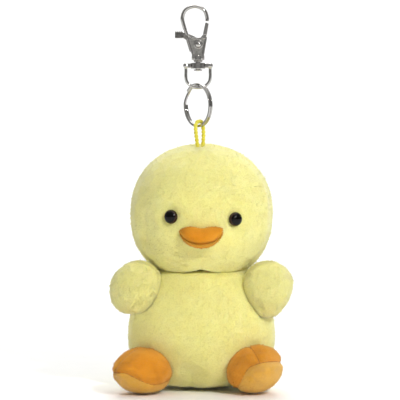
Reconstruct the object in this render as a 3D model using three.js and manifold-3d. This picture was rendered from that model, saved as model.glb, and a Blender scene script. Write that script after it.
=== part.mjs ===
// A plush duckling on a key clip: snap hook, swivel bail, split ring, cord loop and a stuffed, sitting duckling.
// Millimetres. +Z is up, the duckling faces -Y, and +X is the duckling's left.
// The origin lies on the swivel axis at the inside top of the hook's eye, where whatever carries the clip bears.
import * as THREE from "three";
import { mergeVertices } from "three/addons/utils/BufferGeometryUtils.js";
import Module from "manifold-3d";

const wasm = await Module();
wasm.setup();

// ---------- driving dimensions ----------
const GAP = 0.3; // between pieces that touch on the real object
const RUNNING_CLEARANCE = 0.2; // round a pin that turns

// snap hook
const BOW_WIRE = 1.85; // seen from the front
const BOW_DEPTH = 2.8; // front to back
const BOW_WIDTH = 13.2; // outside
const BOW_LEAN = -1.5; // the eye stands off the swivel axis, away from the gate
const EYE_HEIGHT = 13.2;
const PLATE_HEIGHT = 8.4;
const PLATE_TOP_WIDTH = 9.3;
const PLATE_FOOT_WIDTH = 5.6;
const HOOK_DEPTH = 5.3;
const FRONT_WALL = 1.1;
const BACK_WALL = 0.85;
const FACE_RIM = 0.8;
const FACE_RECESS = 0.3;
const COLLAR_RADIUS = 3.0;
const COLLAR_HEIGHT = 2.1;
const COLLAR_ROOF = 0.4;
const NECK_RADIUS = 2.1;
const NECK_HEIGHT = 0.9;

// gate
const LEVER_THICKNESS = 1.4;
const LEVER_ARM_WIDTH = 1.6;
const TAB_LENGTH = 3.8;
const TAB_STANDOFF = 1.8; // from the plate's shoulder, clear of the bow's root
const TAB_HEIGHT = 3.0;
const TAB_DEPTH = 3.2;
const RIVET_DROP = 3.2; // rivet below the floor of the eye
const RIVET_RADIUS = 1.1;
const RIVET_HEAD_RADIUS = 1.75;
const RIVET_HEAD_HEIGHT = 0.6;
const SPRING_WIRE = 0.4;
const SPRING_RADIUS = 1.8;
const SPRING_TURNS = 1.6;
const SPRING_LEG = 2.2;
const SPRING_STANDOFF = 0.15; // from the lever's back

// swivel and bail
const PIN_RADIUS = 1.25;
const PIN_HEAD_RADIUS = 1.9;
const PIN_HEAD_HEIGHT = 0.8;
const PIN_BUTTON_RADIUS = 2.1;
const PIN_BUTTON_HEIGHT = 0.9;
const BOSS_RADIUS = 3.4;
const BOSS_HEIGHT = 2.7;
const BAIL_WIDTH = 12.6;
const BAIL_HEIGHT = 12.2;
const BAIL_WIRE = 1.5;
const BAIL_BEND_HEIGHT = 4.4;
const BAIL_BAR = 2.3;
const BAIL_KNOB_RADIUS = 1.35;

// split ring
const RING_OUTSIDE = 20.4;
const RING_BAND = 1.2; // flat wire, across the ring's radius
const RING_COIL = 0.85; // flat wire, along the ring's axis
const RING_COIL_GAP = 0.12;
const RING_TURN = -54; // degrees about the vertical, from the bail's plane
const RING_CROSSING = 160; // degrees round the ring, from its near side, where the wire changes coil
const RING_CLEARANCE = 0.2;

// cord
const CORD_DIAMETER = 1.5;
const CORD_DROP = 7.8; // ring's lowest point to the crown of the head
const KNOT_RADIUS = 2.7;
const CORD_POCKET_RADIUS = 3.4;

// duckling
const FABRIC = 1.2;
const SEAM_GAP = 0.3;
const DUCK_X = 1.6; // the body hangs this far off the swivel axis
const DUCK_Y = 0.5;
const HEAD_WIDTH = 66;
const HEAD_DEPTH = 57;
const HEAD_UP = 32.7;
const HEAD_DOWN = 31.5;
const FACE_SEAM_Y = -4;
const FACE_ROLL = 2.2; // degrees, the duckling's left eye is the lower one
const NECK_DROP = 24.5; // middle of the head to the neck
const TORSO_WIDTH = 69;
const TORSO_DEPTH = 54;
const NECK_TUCK = 1.67; // the torso's neck is this much narrower than the head's, on each side
const TORSO_DOWN = 27;
const TORSO_FULLNESS = 2.5; // 2 is an ellipse, more is squarer towards the seat
const TORSO_DROP = 30; // neck to the widest level
const SEAT_DROP = 25; // widest level to the seat
const TORSO_SHIFT_Y = 1.5;
const POUCH_HEIGHT = 13;
const POUCH_SIDE_MARGIN = 15.5; // from the torso's widest level to the pouch
const POUCH_FRONT_MARGIN = 12;
const TAIL_SIZE = [15, 15, 12];

// face
const EYE_SPACING = 28.7;
const EYE_LEVEL = 0.8; // above the middle of the head
const EYE_OFFSET = 0.7; // towards the duckling's left
const EYE_RADIUS = 3.2;
const EYE_DOME = 2.5;
const EYE_SHANK_RADIUS = 1.1;
const EYE_SHANK_LENGTH = 8;
const EYE_WASHER_RADIUS = 3.9;
const EYE_WASHER_THICKNESS = 1.2;
const BEAK_SIZE = [20.4, 17, 10.2];
const BEAK_DROP = 7.7; // below the middle of the head
const MOUTH_DROP = 2.2; // mouth seam below the middle of the beak

// wings and feet, one entry each where the two sides sit differently; a foot's inset is from the torso's front
const WING_SIZE = [24.6, 20, 25];
const WING_OUT = -4.6; // middle of the wing beyond the torso's widest side
const WING_INSET = 13.5; // behind the torso's front
const WING_LEVEL = 22.6; // above the torso's widest level
const FOOT_WIDTH = 26;
const FOOT_LENGTH = 31;
const FOOT_HEIGHT = 22;
const FOOT_POINT = 0.3; // how much the toe narrows
const FOOT_LEVEL = 15.4; // middle of the foot below the torso's widest level
const FEET = {
  left: { out: 24.2, inset: 3.5, toeOut: 12, toeUp: 20, lean: 14, rise: 1.8 },
  right: { out: 27.4, inset: 4.5, toeOut: 52, toeUp: 4, lean: -4, rise: 0.6 },
};
const SOLE_DROP = 2; // sole seam below the middle of the foot

// ---------- levels, from the top down ----------
const PLATE_TOP = -EYE_HEIGHT;
const COLLAR_TOP = PLATE_TOP - PLATE_HEIGHT;
const NECK_TOP = COLLAR_TOP - COLLAR_HEIGHT;
const NECK_BOTTOM = NECK_TOP - NECK_HEIGHT;
const BOSS_TOP = NECK_BOTTOM - GAP;
const BOSS_BOTTOM = BOSS_TOP - BOSS_HEIGHT;
const BAIL_LOW = BOSS_TOP - BAIL_HEIGHT + BAIL_WIRE / 2; // middle of the wire
const RING_RADIUS = (RING_OUTSIDE - RING_BAND) / 2;
const RING_Z = BAIL_LOW + BAIL_WIRE / 2 + RING_CLEARANCE + RING_BAND / 2 - RING_RADIUS;
const RING_LOW = RING_Z - RING_OUTSIDE / 2;
const HEAD_Z = RING_LOW - CORD_DROP - HEAD_UP;
const NECK_Z = HEAD_Z - NECK_DROP;
const TORSO_Z = NECK_Z - TORSO_DROP;
const HEAD_NECK_HALF = (HEAD_WIDTH / 2) * Math.sqrt(1 - (NECK_DROP / HEAD_DOWN) ** 2);
const NECK_SHARE = (HEAD_NECK_HALF - NECK_TUCK) / (TORSO_WIDTH / 2);
const TORSO_UP = TORSO_DROP / Math.sqrt(1 - NECK_SHARE ** 2);
const SEAT_Z = TORSO_Z - SEAT_DROP;
const RIVET = new THREE.Vector3(0.1, 0, PLATE_TOP - RIVET_DROP);
const HOOK_FRONT = -HOOK_DEPTH / 2;
const SLOT_FRONT = HOOK_FRONT + FRONT_WALL;
const SLOT_BACK = HOOK_DEPTH / 2 - BACK_WALL;
const LEVER_Y = SLOT_FRONT + GAP + LEVER_THICKNESS / 2;
const BOW_Y = HOOK_FRONT + 0.4 + BOW_DEPTH / 2;
const HEAD = new THREE.Vector3(DUCK_X, DUCK_Y, HEAD_Z);
const TORSO = new THREE.Vector3(DUCK_X, DUCK_Y + TORSO_SHIFT_Y, TORSO_Z);

// The cord's own route: up from the knot, over the ring's lowest wire and down again.
const CORD_ROUTE = [
  [0.3, -1.2, -69.6],
  [-0.1, -1.6, -66.0],
  [-0.3, -1.8, -62.5],
  [-0.8, -1.9, -58.4],
  [-1.1, -2.0, -55.2],
  [-1.1, -2.0, -53.7],
  [-0.6, -1.7, -52.4],
  [0.6, -0.8, -51.7],
  [1.8, 0.1, -52.4],
  [2.3, 0.4, -53.7],
  [2.4, 0.4, -55.2],
  [2.5, 0.3, -58.4],
  [2.3, 0.1, -62.5],
  [2.0, -0.2, -66.0],
  [1.7, -0.5, -69.6],
];
const CORD_STEPS = 44;

// ---------- solids ----------
function solidFrom(geometry) {
  const bare = new THREE.BufferGeometry();
  bare.setAttribute("position", geometry.getAttribute("position"));
  bare.setIndex(geometry.index);
  const merged = mergeVertices(bare, 1e-4);
  const corners = [];
  for (let i = 0; i < merged.index.count; i += 3) {
    const face = [0, 1, 2].map((k) => merged.index.getX(i + k));
    if (new Set(face).size === 3) corners.push(...face);
  }
  const mesh = new wasm.Mesh({
    numProp: 3,
    vertProperties: Float32Array.from(merged.getAttribute("position").array),
    triVerts: Uint32Array.from(corners),
  });
  return new wasm.Manifold(mesh);
}

function geometryFrom(solid) {
  const mesh = solid.getMesh();
  const geometry = new THREE.BufferGeometry();
  geometry.setAttribute("position", new THREE.BufferAttribute(mesh.vertProperties, 3));
  geometry.setIndex(new THREE.BufferAttribute(mesh.triVerts, 1));
  geometry.computeVertexNormals();
  return geometry;
}

const joined = (...solids) => solids.reduce((whole, next) => whole.add(next));
const cut = (solid, ...tools) => tools.reduce((left, tool) => left.subtract(tool), solid);

// A block from its lowest to its highest corner.
function block(low, high) {
  const size = high.map((value, i) => value - low[i]);
  const middle = high.map((value, i) => (value + low[i]) / 2);
  return solidFrom(new THREE.BoxGeometry(...size).translate(...middle));
}

// A round bar along Z between two levels.
function barZ(radius, low, high, sides = 20, x = 0, y = 0) {
  const bar = new THREE.CylinderGeometry(radius, radius, high - low, sides);
  return solidFrom(bar.rotateX(Math.PI / 2).translate(x, y, (low + high) / 2));
}

// A turned shape about Z, from [radius, level] pairs that start and end on the axis.
function turned(profile, sides = 20) {
  const points = profile.map(([radius, level]) => new THREE.Vector2(radius, level));
  return new THREE.LatheGeometry(points, sides).rotateX(Math.PI / 2);
}

// A flat outline in X and Z, thick along Y.
function plateFrom(points, front, back) {
  const outline = new THREE.Shape(points.map(([x, z]) => new THREE.Vector2(x, z)));
  const plate = new THREE.ExtrudeGeometry(outline, { depth: back - front, bevelEnabled: false });
  return solidFrom(plate.rotateX(Math.PI / 2).translate(0, back, 0));
}

// A bar of oval section along a curve. The section's two halves have sides / 2 facets each.
function rod(curve, across, deep, steps, sides = 8) {
  const section = new THREE.Shape();
  section.absellipse(0, 0, deep / 2, across / 2, 0, 2 * Math.PI);
  const settings = { extrudePath: curve, steps, bevelEnabled: false, curveSegments: sides / 2 };
  return solidFrom(new THREE.ExtrudeGeometry(section, settings));
}

const curveThrough = (points) =>
  new THREE.CatmullRomCurve3(points.map((point) => new THREE.Vector3(...point)));

// A rounded soft form: oval in plan, with its own height above and below its widest level.
function softForm({ middle, width, depth, up, down, grow = 0, around = 24, rows = 16, fullness = 2 }) {
  const form = new THREE.SphereGeometry(1, around, rows).rotateX(Math.PI / 2);
  const place = form.getAttribute("position");
  for (let i = 0; i < place.count; i++) {
    const level = place.getZ(i);
    const ring = Math.hypot(place.getX(i), place.getY(i));
    const power = level < 0 ? fullness : 2;
    const full = Math.pow(1 - Math.pow(Math.abs(level), power), 1 / power);
    const spread = ring > 1e-6 ? full / ring : 0;
    place.setXYZ(
      i,
      middle.x + place.getX(i) * spread * (width / 2 + grow),
      middle.y + place.getY(i) * spread * (depth / 2 + grow),
      middle.z + level * ((level < 0 ? down : up) + grow),
    );
  }
  return solidFrom(form);
}

const paint = (color, roughness, metalness = 0) => new THREE.MeshStandardMaterial({ color, roughness, metalness });
const CHROME = paint(0xc9c9c6, 0.15, 1);
const SPRING_STEEL = paint(0x8f9092, 0.35, 1);
const YELLOW_PLUSH = paint(0xede38a, 0.95);
const ORANGE_PLUSH = paint(0xee9a2e, 0.95);
const SOLE_PLUSH = paint(0xecab4f, 0.95);
const YELLOW_CORD = paint(0xe2d83a, 0.8);
const POLYFILL = paint(0xf4f4ef, 1);
const EYE_BLACK = paint(0x0d0a09, 0.08);
const WASHER_WHITE = paint(0xe6e6e2, 0.5);
const POUCH_CLOTH = paint(0xdedbcf, 0.9);

const duckling = new THREE.Group();

function addPiece(name, shape, material) {
  const geometry = shape.isBufferGeometry ? shape : geometryFrom(shape);
  const mesh = new THREE.Mesh(geometry, material);
  mesh.name = name;
  duckling.add(mesh);
  return mesh;
}

// ---------- snap hook ----------
const bowHalf = (BOW_WIDTH - BOW_WIRE) / 2;
const plateLeft = -PLATE_TOP_WIDTH / 2 - 0.5;
const plateRight = PLATE_TOP_WIDTH / 2 - 0.6;
const noseX = BOW_LEAN + bowHalf;
const NOSE_END = -0.45 * EYE_HEIGHT;

function bow() {
  const top = BOW_WIRE / 2;
  const route = [
    [plateLeft + 1.1, BOW_Y, PLATE_TOP - 1.2],
    [plateLeft + 0.3, BOW_Y, PLATE_TOP + 0.6],
    [BOW_LEAN - bowHalf + 0.5, BOW_Y, -0.55 * EYE_HEIGHT],
    [BOW_LEAN - bowHalf, BOW_Y, -0.33 * EYE_HEIGHT],
    [BOW_LEAN - 0.76 * bowHalf, BOW_Y, -0.07 * EYE_HEIGHT],
    [BOW_LEAN, BOW_Y, top],
    [BOW_LEAN + 0.76 * bowHalf, BOW_Y, -0.07 * EYE_HEIGHT],
    [noseX, BOW_Y, -0.33 * EYE_HEIGHT],
    [noseX, BOW_Y, NOSE_END],
  ];
  return rod(curveThrough(route), BOW_WIRE, BOW_DEPTH, 30, 8);
}

function plateOutline(inset = 0) {
  const foot = PLATE_FOOT_WIDTH / 2 - inset;
  return [
    [plateLeft + inset, PLATE_TOP + 1.2 - inset],
    [plateLeft + 2.2, PLATE_TOP + 0.1 - inset],
    [-1.2, PLATE_TOP - 0.2 - inset],
    [1.6, PLATE_TOP - 0.1 - inset],
    [plateRight - inset, PLATE_TOP + 0.2 - inset],
    [plateRight - inset, PLATE_TOP - 0.8],
    [foot, COLLAR_TOP + inset],
    [-foot, COLLAR_TOP + inset],
    [plateLeft + inset, PLATE_TOP - 0.4],
  ].reverse();
}

// Rivet hole through everything, along Y.
function holeY(radius, at) {
  const hole = new THREE.CylinderGeometry(radius, radius, 2 * HOOK_DEPTH, 16);
  return solidFrom(hole.translate(at.x, 0, at.z));
}

function hookBody() {
  const frontWall = plateFrom(plateOutline(), HOOK_FRONT, SLOT_FRONT);
  const backWall = plateFrom(plateOutline(), SLOT_BACK, HOOK_DEPTH / 2);
  const recess = plateFrom(plateOutline(FACE_RIM), HOOK_FRONT - 1, HOOK_FRONT + FACE_RECESS);
  const rivetSeat = new THREE.CylinderGeometry(RIVET_HEAD_RADIUS + 0.5, RIVET_HEAD_RADIUS + 0.5, FACE_RECESS, 16);
  rivetSeat.translate(RIVET.x, HOOK_FRONT + FACE_RECESS / 2, RIVET.z);
  const faced = joined(cut(frontWall, recess), solidFrom(rivetSeat));
  const slot = block([-12, SLOT_FRONT, COLLAR_TOP], [BOW_LEAN, SLOT_BACK, PLATE_TOP + 3.6]);
  const clevisFoot = block(
    [-PLATE_FOOT_WIDTH / 2, HOOK_FRONT, NECK_TOP + 0.6],
    [PLATE_FOOT_WIDTH / 2, HOOK_DEPTH / 2, COLLAR_TOP],
  );
  const collar = barZ(COLLAR_RADIUS, NECK_TOP, COLLAR_TOP);
  const neck = barZ(NECK_RADIUS, NECK_BOTTOM, NECK_TOP + 0.2);
  const socket = barZ(PIN_HEAD_RADIUS + GAP, NECK_TOP + GAP, COLLAR_TOP - COLLAR_ROOF, 16);
  const throat = barZ(PIN_RADIUS + RUNNING_CLEARANCE, NECK_BOTTOM - 1, NECK_TOP + 1, 16);
  const body = joined(cut(bow(), slot), faced, backWall, clevisFoot, collar, neck);
  return cut(body, socket, throat, holeY(RIVET_RADIUS + 0.1, RIVET));
}

addPiece("hook_body", hookBody(), CHROME);

// ---------- gate: one lever with a closing arm, a hub on the rivet and a thumb tab ----------
function gateLever() {
  const reach = NOSE_END - GAP - RIVET.z - 0.1;
  const armOut = noseX + LEVER_ARM_WIDTH / 2;
  const armFoot = PLATE_TOP + 1.0;
  const tabRight = plateLeft - TAB_STANDOFF;
  const tabTop = PLATE_TOP + 2.5;
  const arm = [
    [armOut, RIVET.z + reach - 0.6],
    [armOut - LEVER_ARM_WIDTH, RIVET.z + reach],
    [plateRight - 1.9, armFoot],
    [plateRight, armFoot - 0.2],
  ];
  const leaf = [
    [plateRight, armFoot - 0.2],
    [plateRight - 1.9, armFoot + 0.1],
    [0.7, PLATE_TOP - 0.7],
    [plateLeft + 1.5, tabTop - 1.2],
    [tabRight, tabTop - 0.3],
    [tabRight, tabTop - TAB_HEIGHT],
    [plateLeft - 0.4, tabTop - TAB_HEIGHT - 0.8],
    [-3.9, COLLAR_TOP + 1.7],
    [-2.9, COLLAR_TOP + 1.4],
    [-0.6, RIVET.z - 2.4],
    [1.6, RIVET.z - 1.8],
    [2.3, RIVET.z + 0.2],
  ];
  const thin = plateFrom([...leaf].reverse(), LEVER_Y - LEVER_THICKNESS / 2, LEVER_Y + LEVER_THICKNESS / 2);
  const thick = plateFrom([...arm].reverse(), BOW_Y - BOW_DEPTH / 2 + 0.2, BOW_Y + BOW_DEPTH / 2 - 0.2);
  const tab = block(
    [tabRight - TAB_LENGTH, LEVER_Y - TAB_DEPTH / 2, tabTop - TAB_HEIGHT],
    [tabRight + 0.1, LEVER_Y + TAB_DEPTH / 2, tabTop],
  );
  return cut(joined(thin, thick, tab), holeY(RIVET_RADIUS + RUNNING_CLEARANCE, RIVET));
}

addPiece("gate_lever", gateLever(), CHROME);

// ---------- rivet, spring and swivel pin ----------
function gateRivet() {
  const front = HOOK_FRONT - 0.1;
  const back = HOOK_DEPTH / 2 + 0.1;
  const profile = [
    [0, back + RIVET_HEAD_HEIGHT],
    [RIVET_HEAD_RADIUS * 0.7, back + RIVET_HEAD_HEIGHT * 0.8],
    [RIVET_HEAD_RADIUS, back],
    [RIVET_RADIUS, back],
    [RIVET_RADIUS, front],
    [RIVET_HEAD_RADIUS, front],
    [RIVET_HEAD_RADIUS * 0.7, front - RIVET_HEAD_HEIGHT * 0.8],
    [0, front - RIVET_HEAD_HEIGHT],
  ];
  const points = profile.map(([radius, y]) => new THREE.Vector2(radius, y)).reverse();
  return new THREE.LatheGeometry(points, 16).translate(RIVET.x, 0, RIVET.z);
}

addPiece("gate_rivet", solidFrom(gateRivet()), CHROME);

// Torsion spring: a few turns round the rivet that fill the slot behind the lever, with a straight leg at each end.
const springBack = SLOT_BACK - GAP - SPRING_WIRE / 2;
const springFront = LEVER_Y + LEVER_THICKNESS / 2 + SPRING_STANDOFF + SPRING_WIRE / 2;
const SPRING_PITCH = (springBack - springFront) / SPRING_TURNS;

class SpringCurve extends THREE.Curve {
  getPoint(t) {
    const coil = SPRING_TURNS * 2 * Math.PI * SPRING_RADIUS;
    const along = t * (coil + 2 * SPRING_LEG) - SPRING_LEG;
    const onCoil = Math.min(Math.max(along, 0), coil);
    const angle = onCoil / SPRING_RADIUS;
    const beyond = along - onCoil;
    const y = springBack - (SPRING_PITCH * angle) / (2 * Math.PI);
    return new THREE.Vector3(
      RIVET.x + SPRING_RADIUS * Math.sin(angle) + beyond * Math.cos(angle),
      y,
      RIVET.z - SPRING_RADIUS * Math.cos(angle) + beyond * Math.sin(angle),
    );
  }
}

addPiece("gate_spring", rod(new SpringCurve(), SPRING_WIRE, SPRING_WIRE, 26, 6), SPRING_STEEL);

const pinTop = COLLAR_TOP - COLLAR_ROOF - GAP;
const pinProfile = [
  [0, BOSS_BOTTOM - GAP - PIN_BUTTON_HEIGHT],
  [PIN_BUTTON_RADIUS * 0.8, BOSS_BOTTOM - GAP - PIN_BUTTON_HEIGHT],
  [PIN_BUTTON_RADIUS, BOSS_BOTTOM - GAP - PIN_BUTTON_HEIGHT / 2],
  [PIN_BUTTON_RADIUS, BOSS_BOTTOM - GAP],
  [PIN_RADIUS, BOSS_BOTTOM - GAP],
  [PIN_RADIUS, pinTop - PIN_HEAD_HEIGHT],
  [PIN_HEAD_RADIUS, pinTop - PIN_HEAD_HEIGHT],
  [PIN_HEAD_RADIUS, pinTop],
  [0, pinTop],
];
addPiece("swivel_pin", solidFrom(turned(pinProfile, 16)), CHROME);

// ---------- bail ----------
function bail() {
  const half = (BAIL_WIDTH - BAIL_WIRE) / 2;
  const barZLevel = (BOSS_TOP + BOSS_BOTTOM) / 2;
  const bendTop = BAIL_LOW + BAIL_BEND_HEIGHT;
  const bend = [];
  for (let step = 0; step <= 8; step++) {
    const angle = Math.PI * (step / 8);
    bend.push([-half * Math.cos(angle), 0, bendTop - BAIL_BEND_HEIGHT * Math.sin(angle)]);
  }
  const middleZ = (barZLevel + bendTop) / 2;
  const route = [[-half, 0, barZLevel], [-half, 0, middleZ], ...bend, [half, 0, middleZ], [half, 0, barZLevel]];
  const wire = rod(curveThrough(route), BAIL_WIRE, BAIL_WIRE, 30, 8);
  const bar = block([-half, -BAIL_BAR / 2, barZLevel - BAIL_BAR / 2], [half, BAIL_BAR / 2, barZLevel + BAIL_BAR / 2]);
  const knobs = [-half, half].map((x) =>
    solidFrom(new THREE.SphereGeometry(BAIL_KNOB_RADIUS, 10, 8).translate(x, 0, barZLevel)),
  );
  const boss = barZ(BOSS_RADIUS, BOSS_BOTTOM, BOSS_TOP);
  const bore = barZ(PIN_RADIUS + RUNNING_CLEARANCE, BOSS_BOTTOM - 1, BOSS_TOP + 1, 16);
  return cut(joined(wire, bar, ...knobs, boss), bore);
}

addPiece("bail", bail(), CHROME);

// ---------- split ring: one flat wire, wound twice, that steps across to its second coil ----------
class SplitRingCurve extends THREE.Curve {
  getPoint(t) {
    const step = 0.35; // radians on each side of the crossing
    const angle = step + t * (4 * Math.PI - 2 * step);
    const crossing = THREE.MathUtils.smoothstep(angle, 2 * Math.PI - step, 2 * Math.PI + step);
    const axial = (crossing - 0.5) * (RING_COIL + RING_COIL_GAP);
    const round = angle + THREE.MathUtils.degToRad(RING_CROSSING);
    return new THREE.Vector3(RING_RADIUS * Math.cos(round), RING_RADIUS * Math.sin(round), axial);
  }
}

function splitRing() {
  const section = new THREE.Shape([
    new THREE.Vector2(-RING_COIL / 2, -RING_BAND / 2),
    new THREE.Vector2(RING_COIL / 2, -RING_BAND / 2),
    new THREE.Vector2(RING_COIL / 2, RING_BAND / 2),
    new THREE.Vector2(-RING_COIL / 2, RING_BAND / 2),
  ]);
  const settings = { extrudePath: new SplitRingCurve(), steps: 72, bevelEnabled: false };
  const ring = new THREE.ExtrudeGeometry(section, settings);
  ring.rotateX(Math.PI / 2).rotateZ(THREE.MathUtils.degToRad(RING_TURN)).translate(0, 0, RING_Z);
  return solidFrom(ring);
}

addPiece("split_ring", splitRing(), CHROME);

// ---------- cord and its knot ----------
addPiece("hang_cord", rod(curveThrough(CORD_ROUTE), CORD_DIAMETER, CORD_DIAMETER, CORD_STEPS, 8), YELLOW_CORD);

const cordEnd = CORD_ROUTE[0];
const knotMiddle = new THREE.Vector3(1, -0.8, cordEnd[2] - GAP - 0.1 - KNOT_RADIUS);
const knot = new THREE.SphereGeometry(KNOT_RADIUS, 12, 8).rotateX(Math.PI / 2);
addPiece("cord_knot", solidFrom(knot.translate(knotMiddle.x, knotMiddle.y, knotMiddle.z)), YELLOW_CORD);

// ---------- head ----------
const headForm = (grow) =>
  softForm({ middle: HEAD, width: HEAD_WIDTH, depth: HEAD_DEPTH, up: HEAD_UP, down: HEAD_DOWN, grow });
const torsoForm = (grow) =>
  softForm({
    middle: TORSO,
    width: TORSO_WIDTH,
    depth: TORSO_DEPTH,
    up: TORSO_UP,
    down: TORSO_DOWN,
    fullness: TORSO_FULLNESS,
    grow,
  });

const FAR = 120;
const above = (level) => block([-FAR, -FAR, level], [FAR, FAR, level + FAR]);
const below = (level) => block([-FAR, -FAR, level - FAR], [FAR, FAR, level]);
const inFrontOf = (y) => block([-FAR, y - FAR, -3 * FAR], [FAR, y, FAR]);
const behind = (y) => block([-FAR, y, -3 * FAR], [FAR, y + FAR, FAR]);
const rightOf = (x) => block([x - FAR, -FAR, -3 * FAR], [x, FAR, FAR]);
const leftOf = (x) => block([x, -FAR, -3 * FAR], [x + FAR, FAR, FAR]);

// A point on the front of the head and the direction that its surface faces.
function onHead(x, z) {
  const roll = THREE.MathUtils.degToRad(FACE_ROLL);
  const across = x * Math.cos(roll) + z * Math.sin(roll);
  const level = z * Math.cos(roll) - x * Math.sin(roll);
  const [a, b, c] = [HEAD_WIDTH / 2, HEAD_DEPTH / 2, level < 0 ? HEAD_DOWN : HEAD_UP];
  const y = -b * Math.sqrt(1 - (across / a) ** 2 - (level / c) ** 2);
  const facing = new THREE.Vector3(across / a ** 2, y / b ** 2, level / c ** 2).normalize();
  return { point: new THREE.Vector3(across, y, level).add(HEAD), facing };
}

// Puts a geometry that was made about +Z onto the face.
function ontoFace(geometry, { point, facing }) {
  const turn = new THREE.Quaternion().setFromUnitVectors(new THREE.Vector3(0, 0, 1), facing);
  return geometry.applyQuaternion(turn).translate(point.x, point.y, point.z);
}

const EYE_PLACES = {
  left: onHead(EYE_OFFSET + EYE_SPACING / 2, EYE_LEVEL),
  right: onHead(EYE_OFFSET - EYE_SPACING / 2, EYE_LEVEL),
};
const eyeWasherTop = -FABRIC - GAP - 0.4;

function eyeGeometry() {
  const profile = [
    [0, -EYE_SHANK_LENGTH],
    [EYE_SHANK_RADIUS, -EYE_SHANK_LENGTH],
    [EYE_SHANK_RADIUS, GAP],
    [EYE_RADIUS * 0.92, GAP],
  ];
  for (let step = 0; step <= 4; step++) {
    const angle = (Math.PI / 2) * (step / 4);
    profile.push([EYE_RADIUS * Math.cos(angle), GAP + 0.3 + (EYE_DOME - 0.3) * Math.sin(angle)]);
  }
  profile[profile.length - 1][0] = 0;
  return turned(profile, 18);
}

function eyeWasherGeometry() {
  const inner = EYE_SHANK_RADIUS + RUNNING_CLEARANCE;
  const low = eyeWasherTop - EYE_WASHER_THICKNESS;
  const profile = [
    [inner, low],
    [EYE_WASHER_RADIUS, low],
    [EYE_WASHER_RADIUS, eyeWasherTop],
    [inner, eyeWasherTop],
    [inner, low],
  ];
  return turned(profile, 16);
}

function eyeTool(radius, low, high, place) {
  const tool = new THREE.CylinderGeometry(radius, radius, high - low, 14).rotateX(Math.PI / 2);
  return solidFrom(ontoFace(tool.translate(0, 0, (low + high) / 2), place));
}

for (const [side, place] of Object.entries(EYE_PLACES)) {
  addPiece(`${side}_eye`, solidFrom(ontoFace(eyeGeometry(), place)), EYE_BLACK);
  addPiece(`${side}_eye_washer`, solidFrom(ontoFace(eyeWasherGeometry(), place)), WASHER_WHITE);
}

const eyeHoles = Object.values(EYE_PLACES).map((place) => eyeTool(EYE_SHANK_RADIUS + GAP, -4, 2, place));
const eyePockets = Object.values(EYE_PLACES).map((place) =>
  eyeTool(EYE_WASHER_RADIUS + GAP, -EYE_SHANK_LENGTH - GAP, 2, place),
);
const cordPocket = barZ(
  CORD_POCKET_RADIUS,
  knotMiddle.z - KNOT_RADIUS - GAP,
  HEAD_Z + HEAD_UP + 2,
  14,
  knotMiddle.x,
  knotMiddle.y,
);
const crownHole = barZ(CORD_POCKET_RADIUS - 0.6, HEAD_Z, HEAD_Z + HEAD_UP + 2, 14, knotMiddle.x, knotMiddle.y);

const headSkin = cut(headForm(0), headForm(-FABRIC), below(NECK_Z + GAP / 2), crownHole, ...eyeHoles);
const face = cut(headSkin, behind(HEAD.y + FACE_SEAM_Y - SEAM_GAP / 2));
addPiece("face_panel_left", cut(face, rightOf(HEAD.x + SEAM_GAP / 2)), YELLOW_PLUSH);
addPiece("face_panel_right", cut(face, leftOf(HEAD.x - SEAM_GAP / 2)), YELLOW_PLUSH);
addPiece("head_back_panel", cut(headSkin, inFrontOf(HEAD.y + FACE_SEAM_Y + SEAM_GAP / 2)), YELLOW_PLUSH);

const headFill = softForm({
  middle: HEAD,
  width: HEAD_WIDTH,
  depth: HEAD_DEPTH,
  up: HEAD_UP,
  down: HEAD_DOWN,
  grow: -FABRIC - 2 * GAP,
  around: 18,
  rows: 12,
});
addPiece("head_stuffing", cut(headFill, below(NECK_Z + GAP / 2), cordPocket, ...eyePockets), POLYFILL);

// ---------- beak: an upper and a lower piece of cloth over one wad of stuffing ----------
const beakMiddle = onHead(0, -BEAK_DROP).point;
const beakForm = (grow) =>
  softForm({
    middle: beakMiddle,
    width: BEAK_SIZE[0],
    depth: BEAK_SIZE[1],
    up: BEAK_SIZE[2] / 2,
    down: BEAK_SIZE[2] / 2,
    grow,
    around: 20,
    rows: 10,
  });
const beakSkin = cut(beakForm(0), beakForm(-FABRIC), headForm(GAP));
const mouthZ = beakMiddle.z - MOUTH_DROP;
addPiece("upper_beak", cut(beakSkin, below(mouthZ + SEAM_GAP / 2)), ORANGE_PLUSH);
addPiece("lower_beak", cut(beakSkin, above(mouthZ - SEAM_GAP / 2)), ORANGE_PLUSH);
addPiece("beak_stuffing", cut(beakForm(-FABRIC - GAP), headForm(GAP)), POLYFILL);

// ---------- torso ----------
const torsoTrim = [above(NECK_Z - GAP / 2)];
const torsoSkin = cut(torsoForm(0), torsoForm(-FABRIC).intersect(above(SEAT_Z + FABRIC)), below(SEAT_Z), ...torsoTrim);
addPiece("torso_front_panel", cut(torsoSkin, behind(TORSO.y - SEAM_GAP / 2)), YELLOW_PLUSH);
addPiece("torso_back_panel", cut(torsoSkin, inFrontOf(TORSO.y + SEAM_GAP / 2)), YELLOW_PLUSH);

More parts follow.
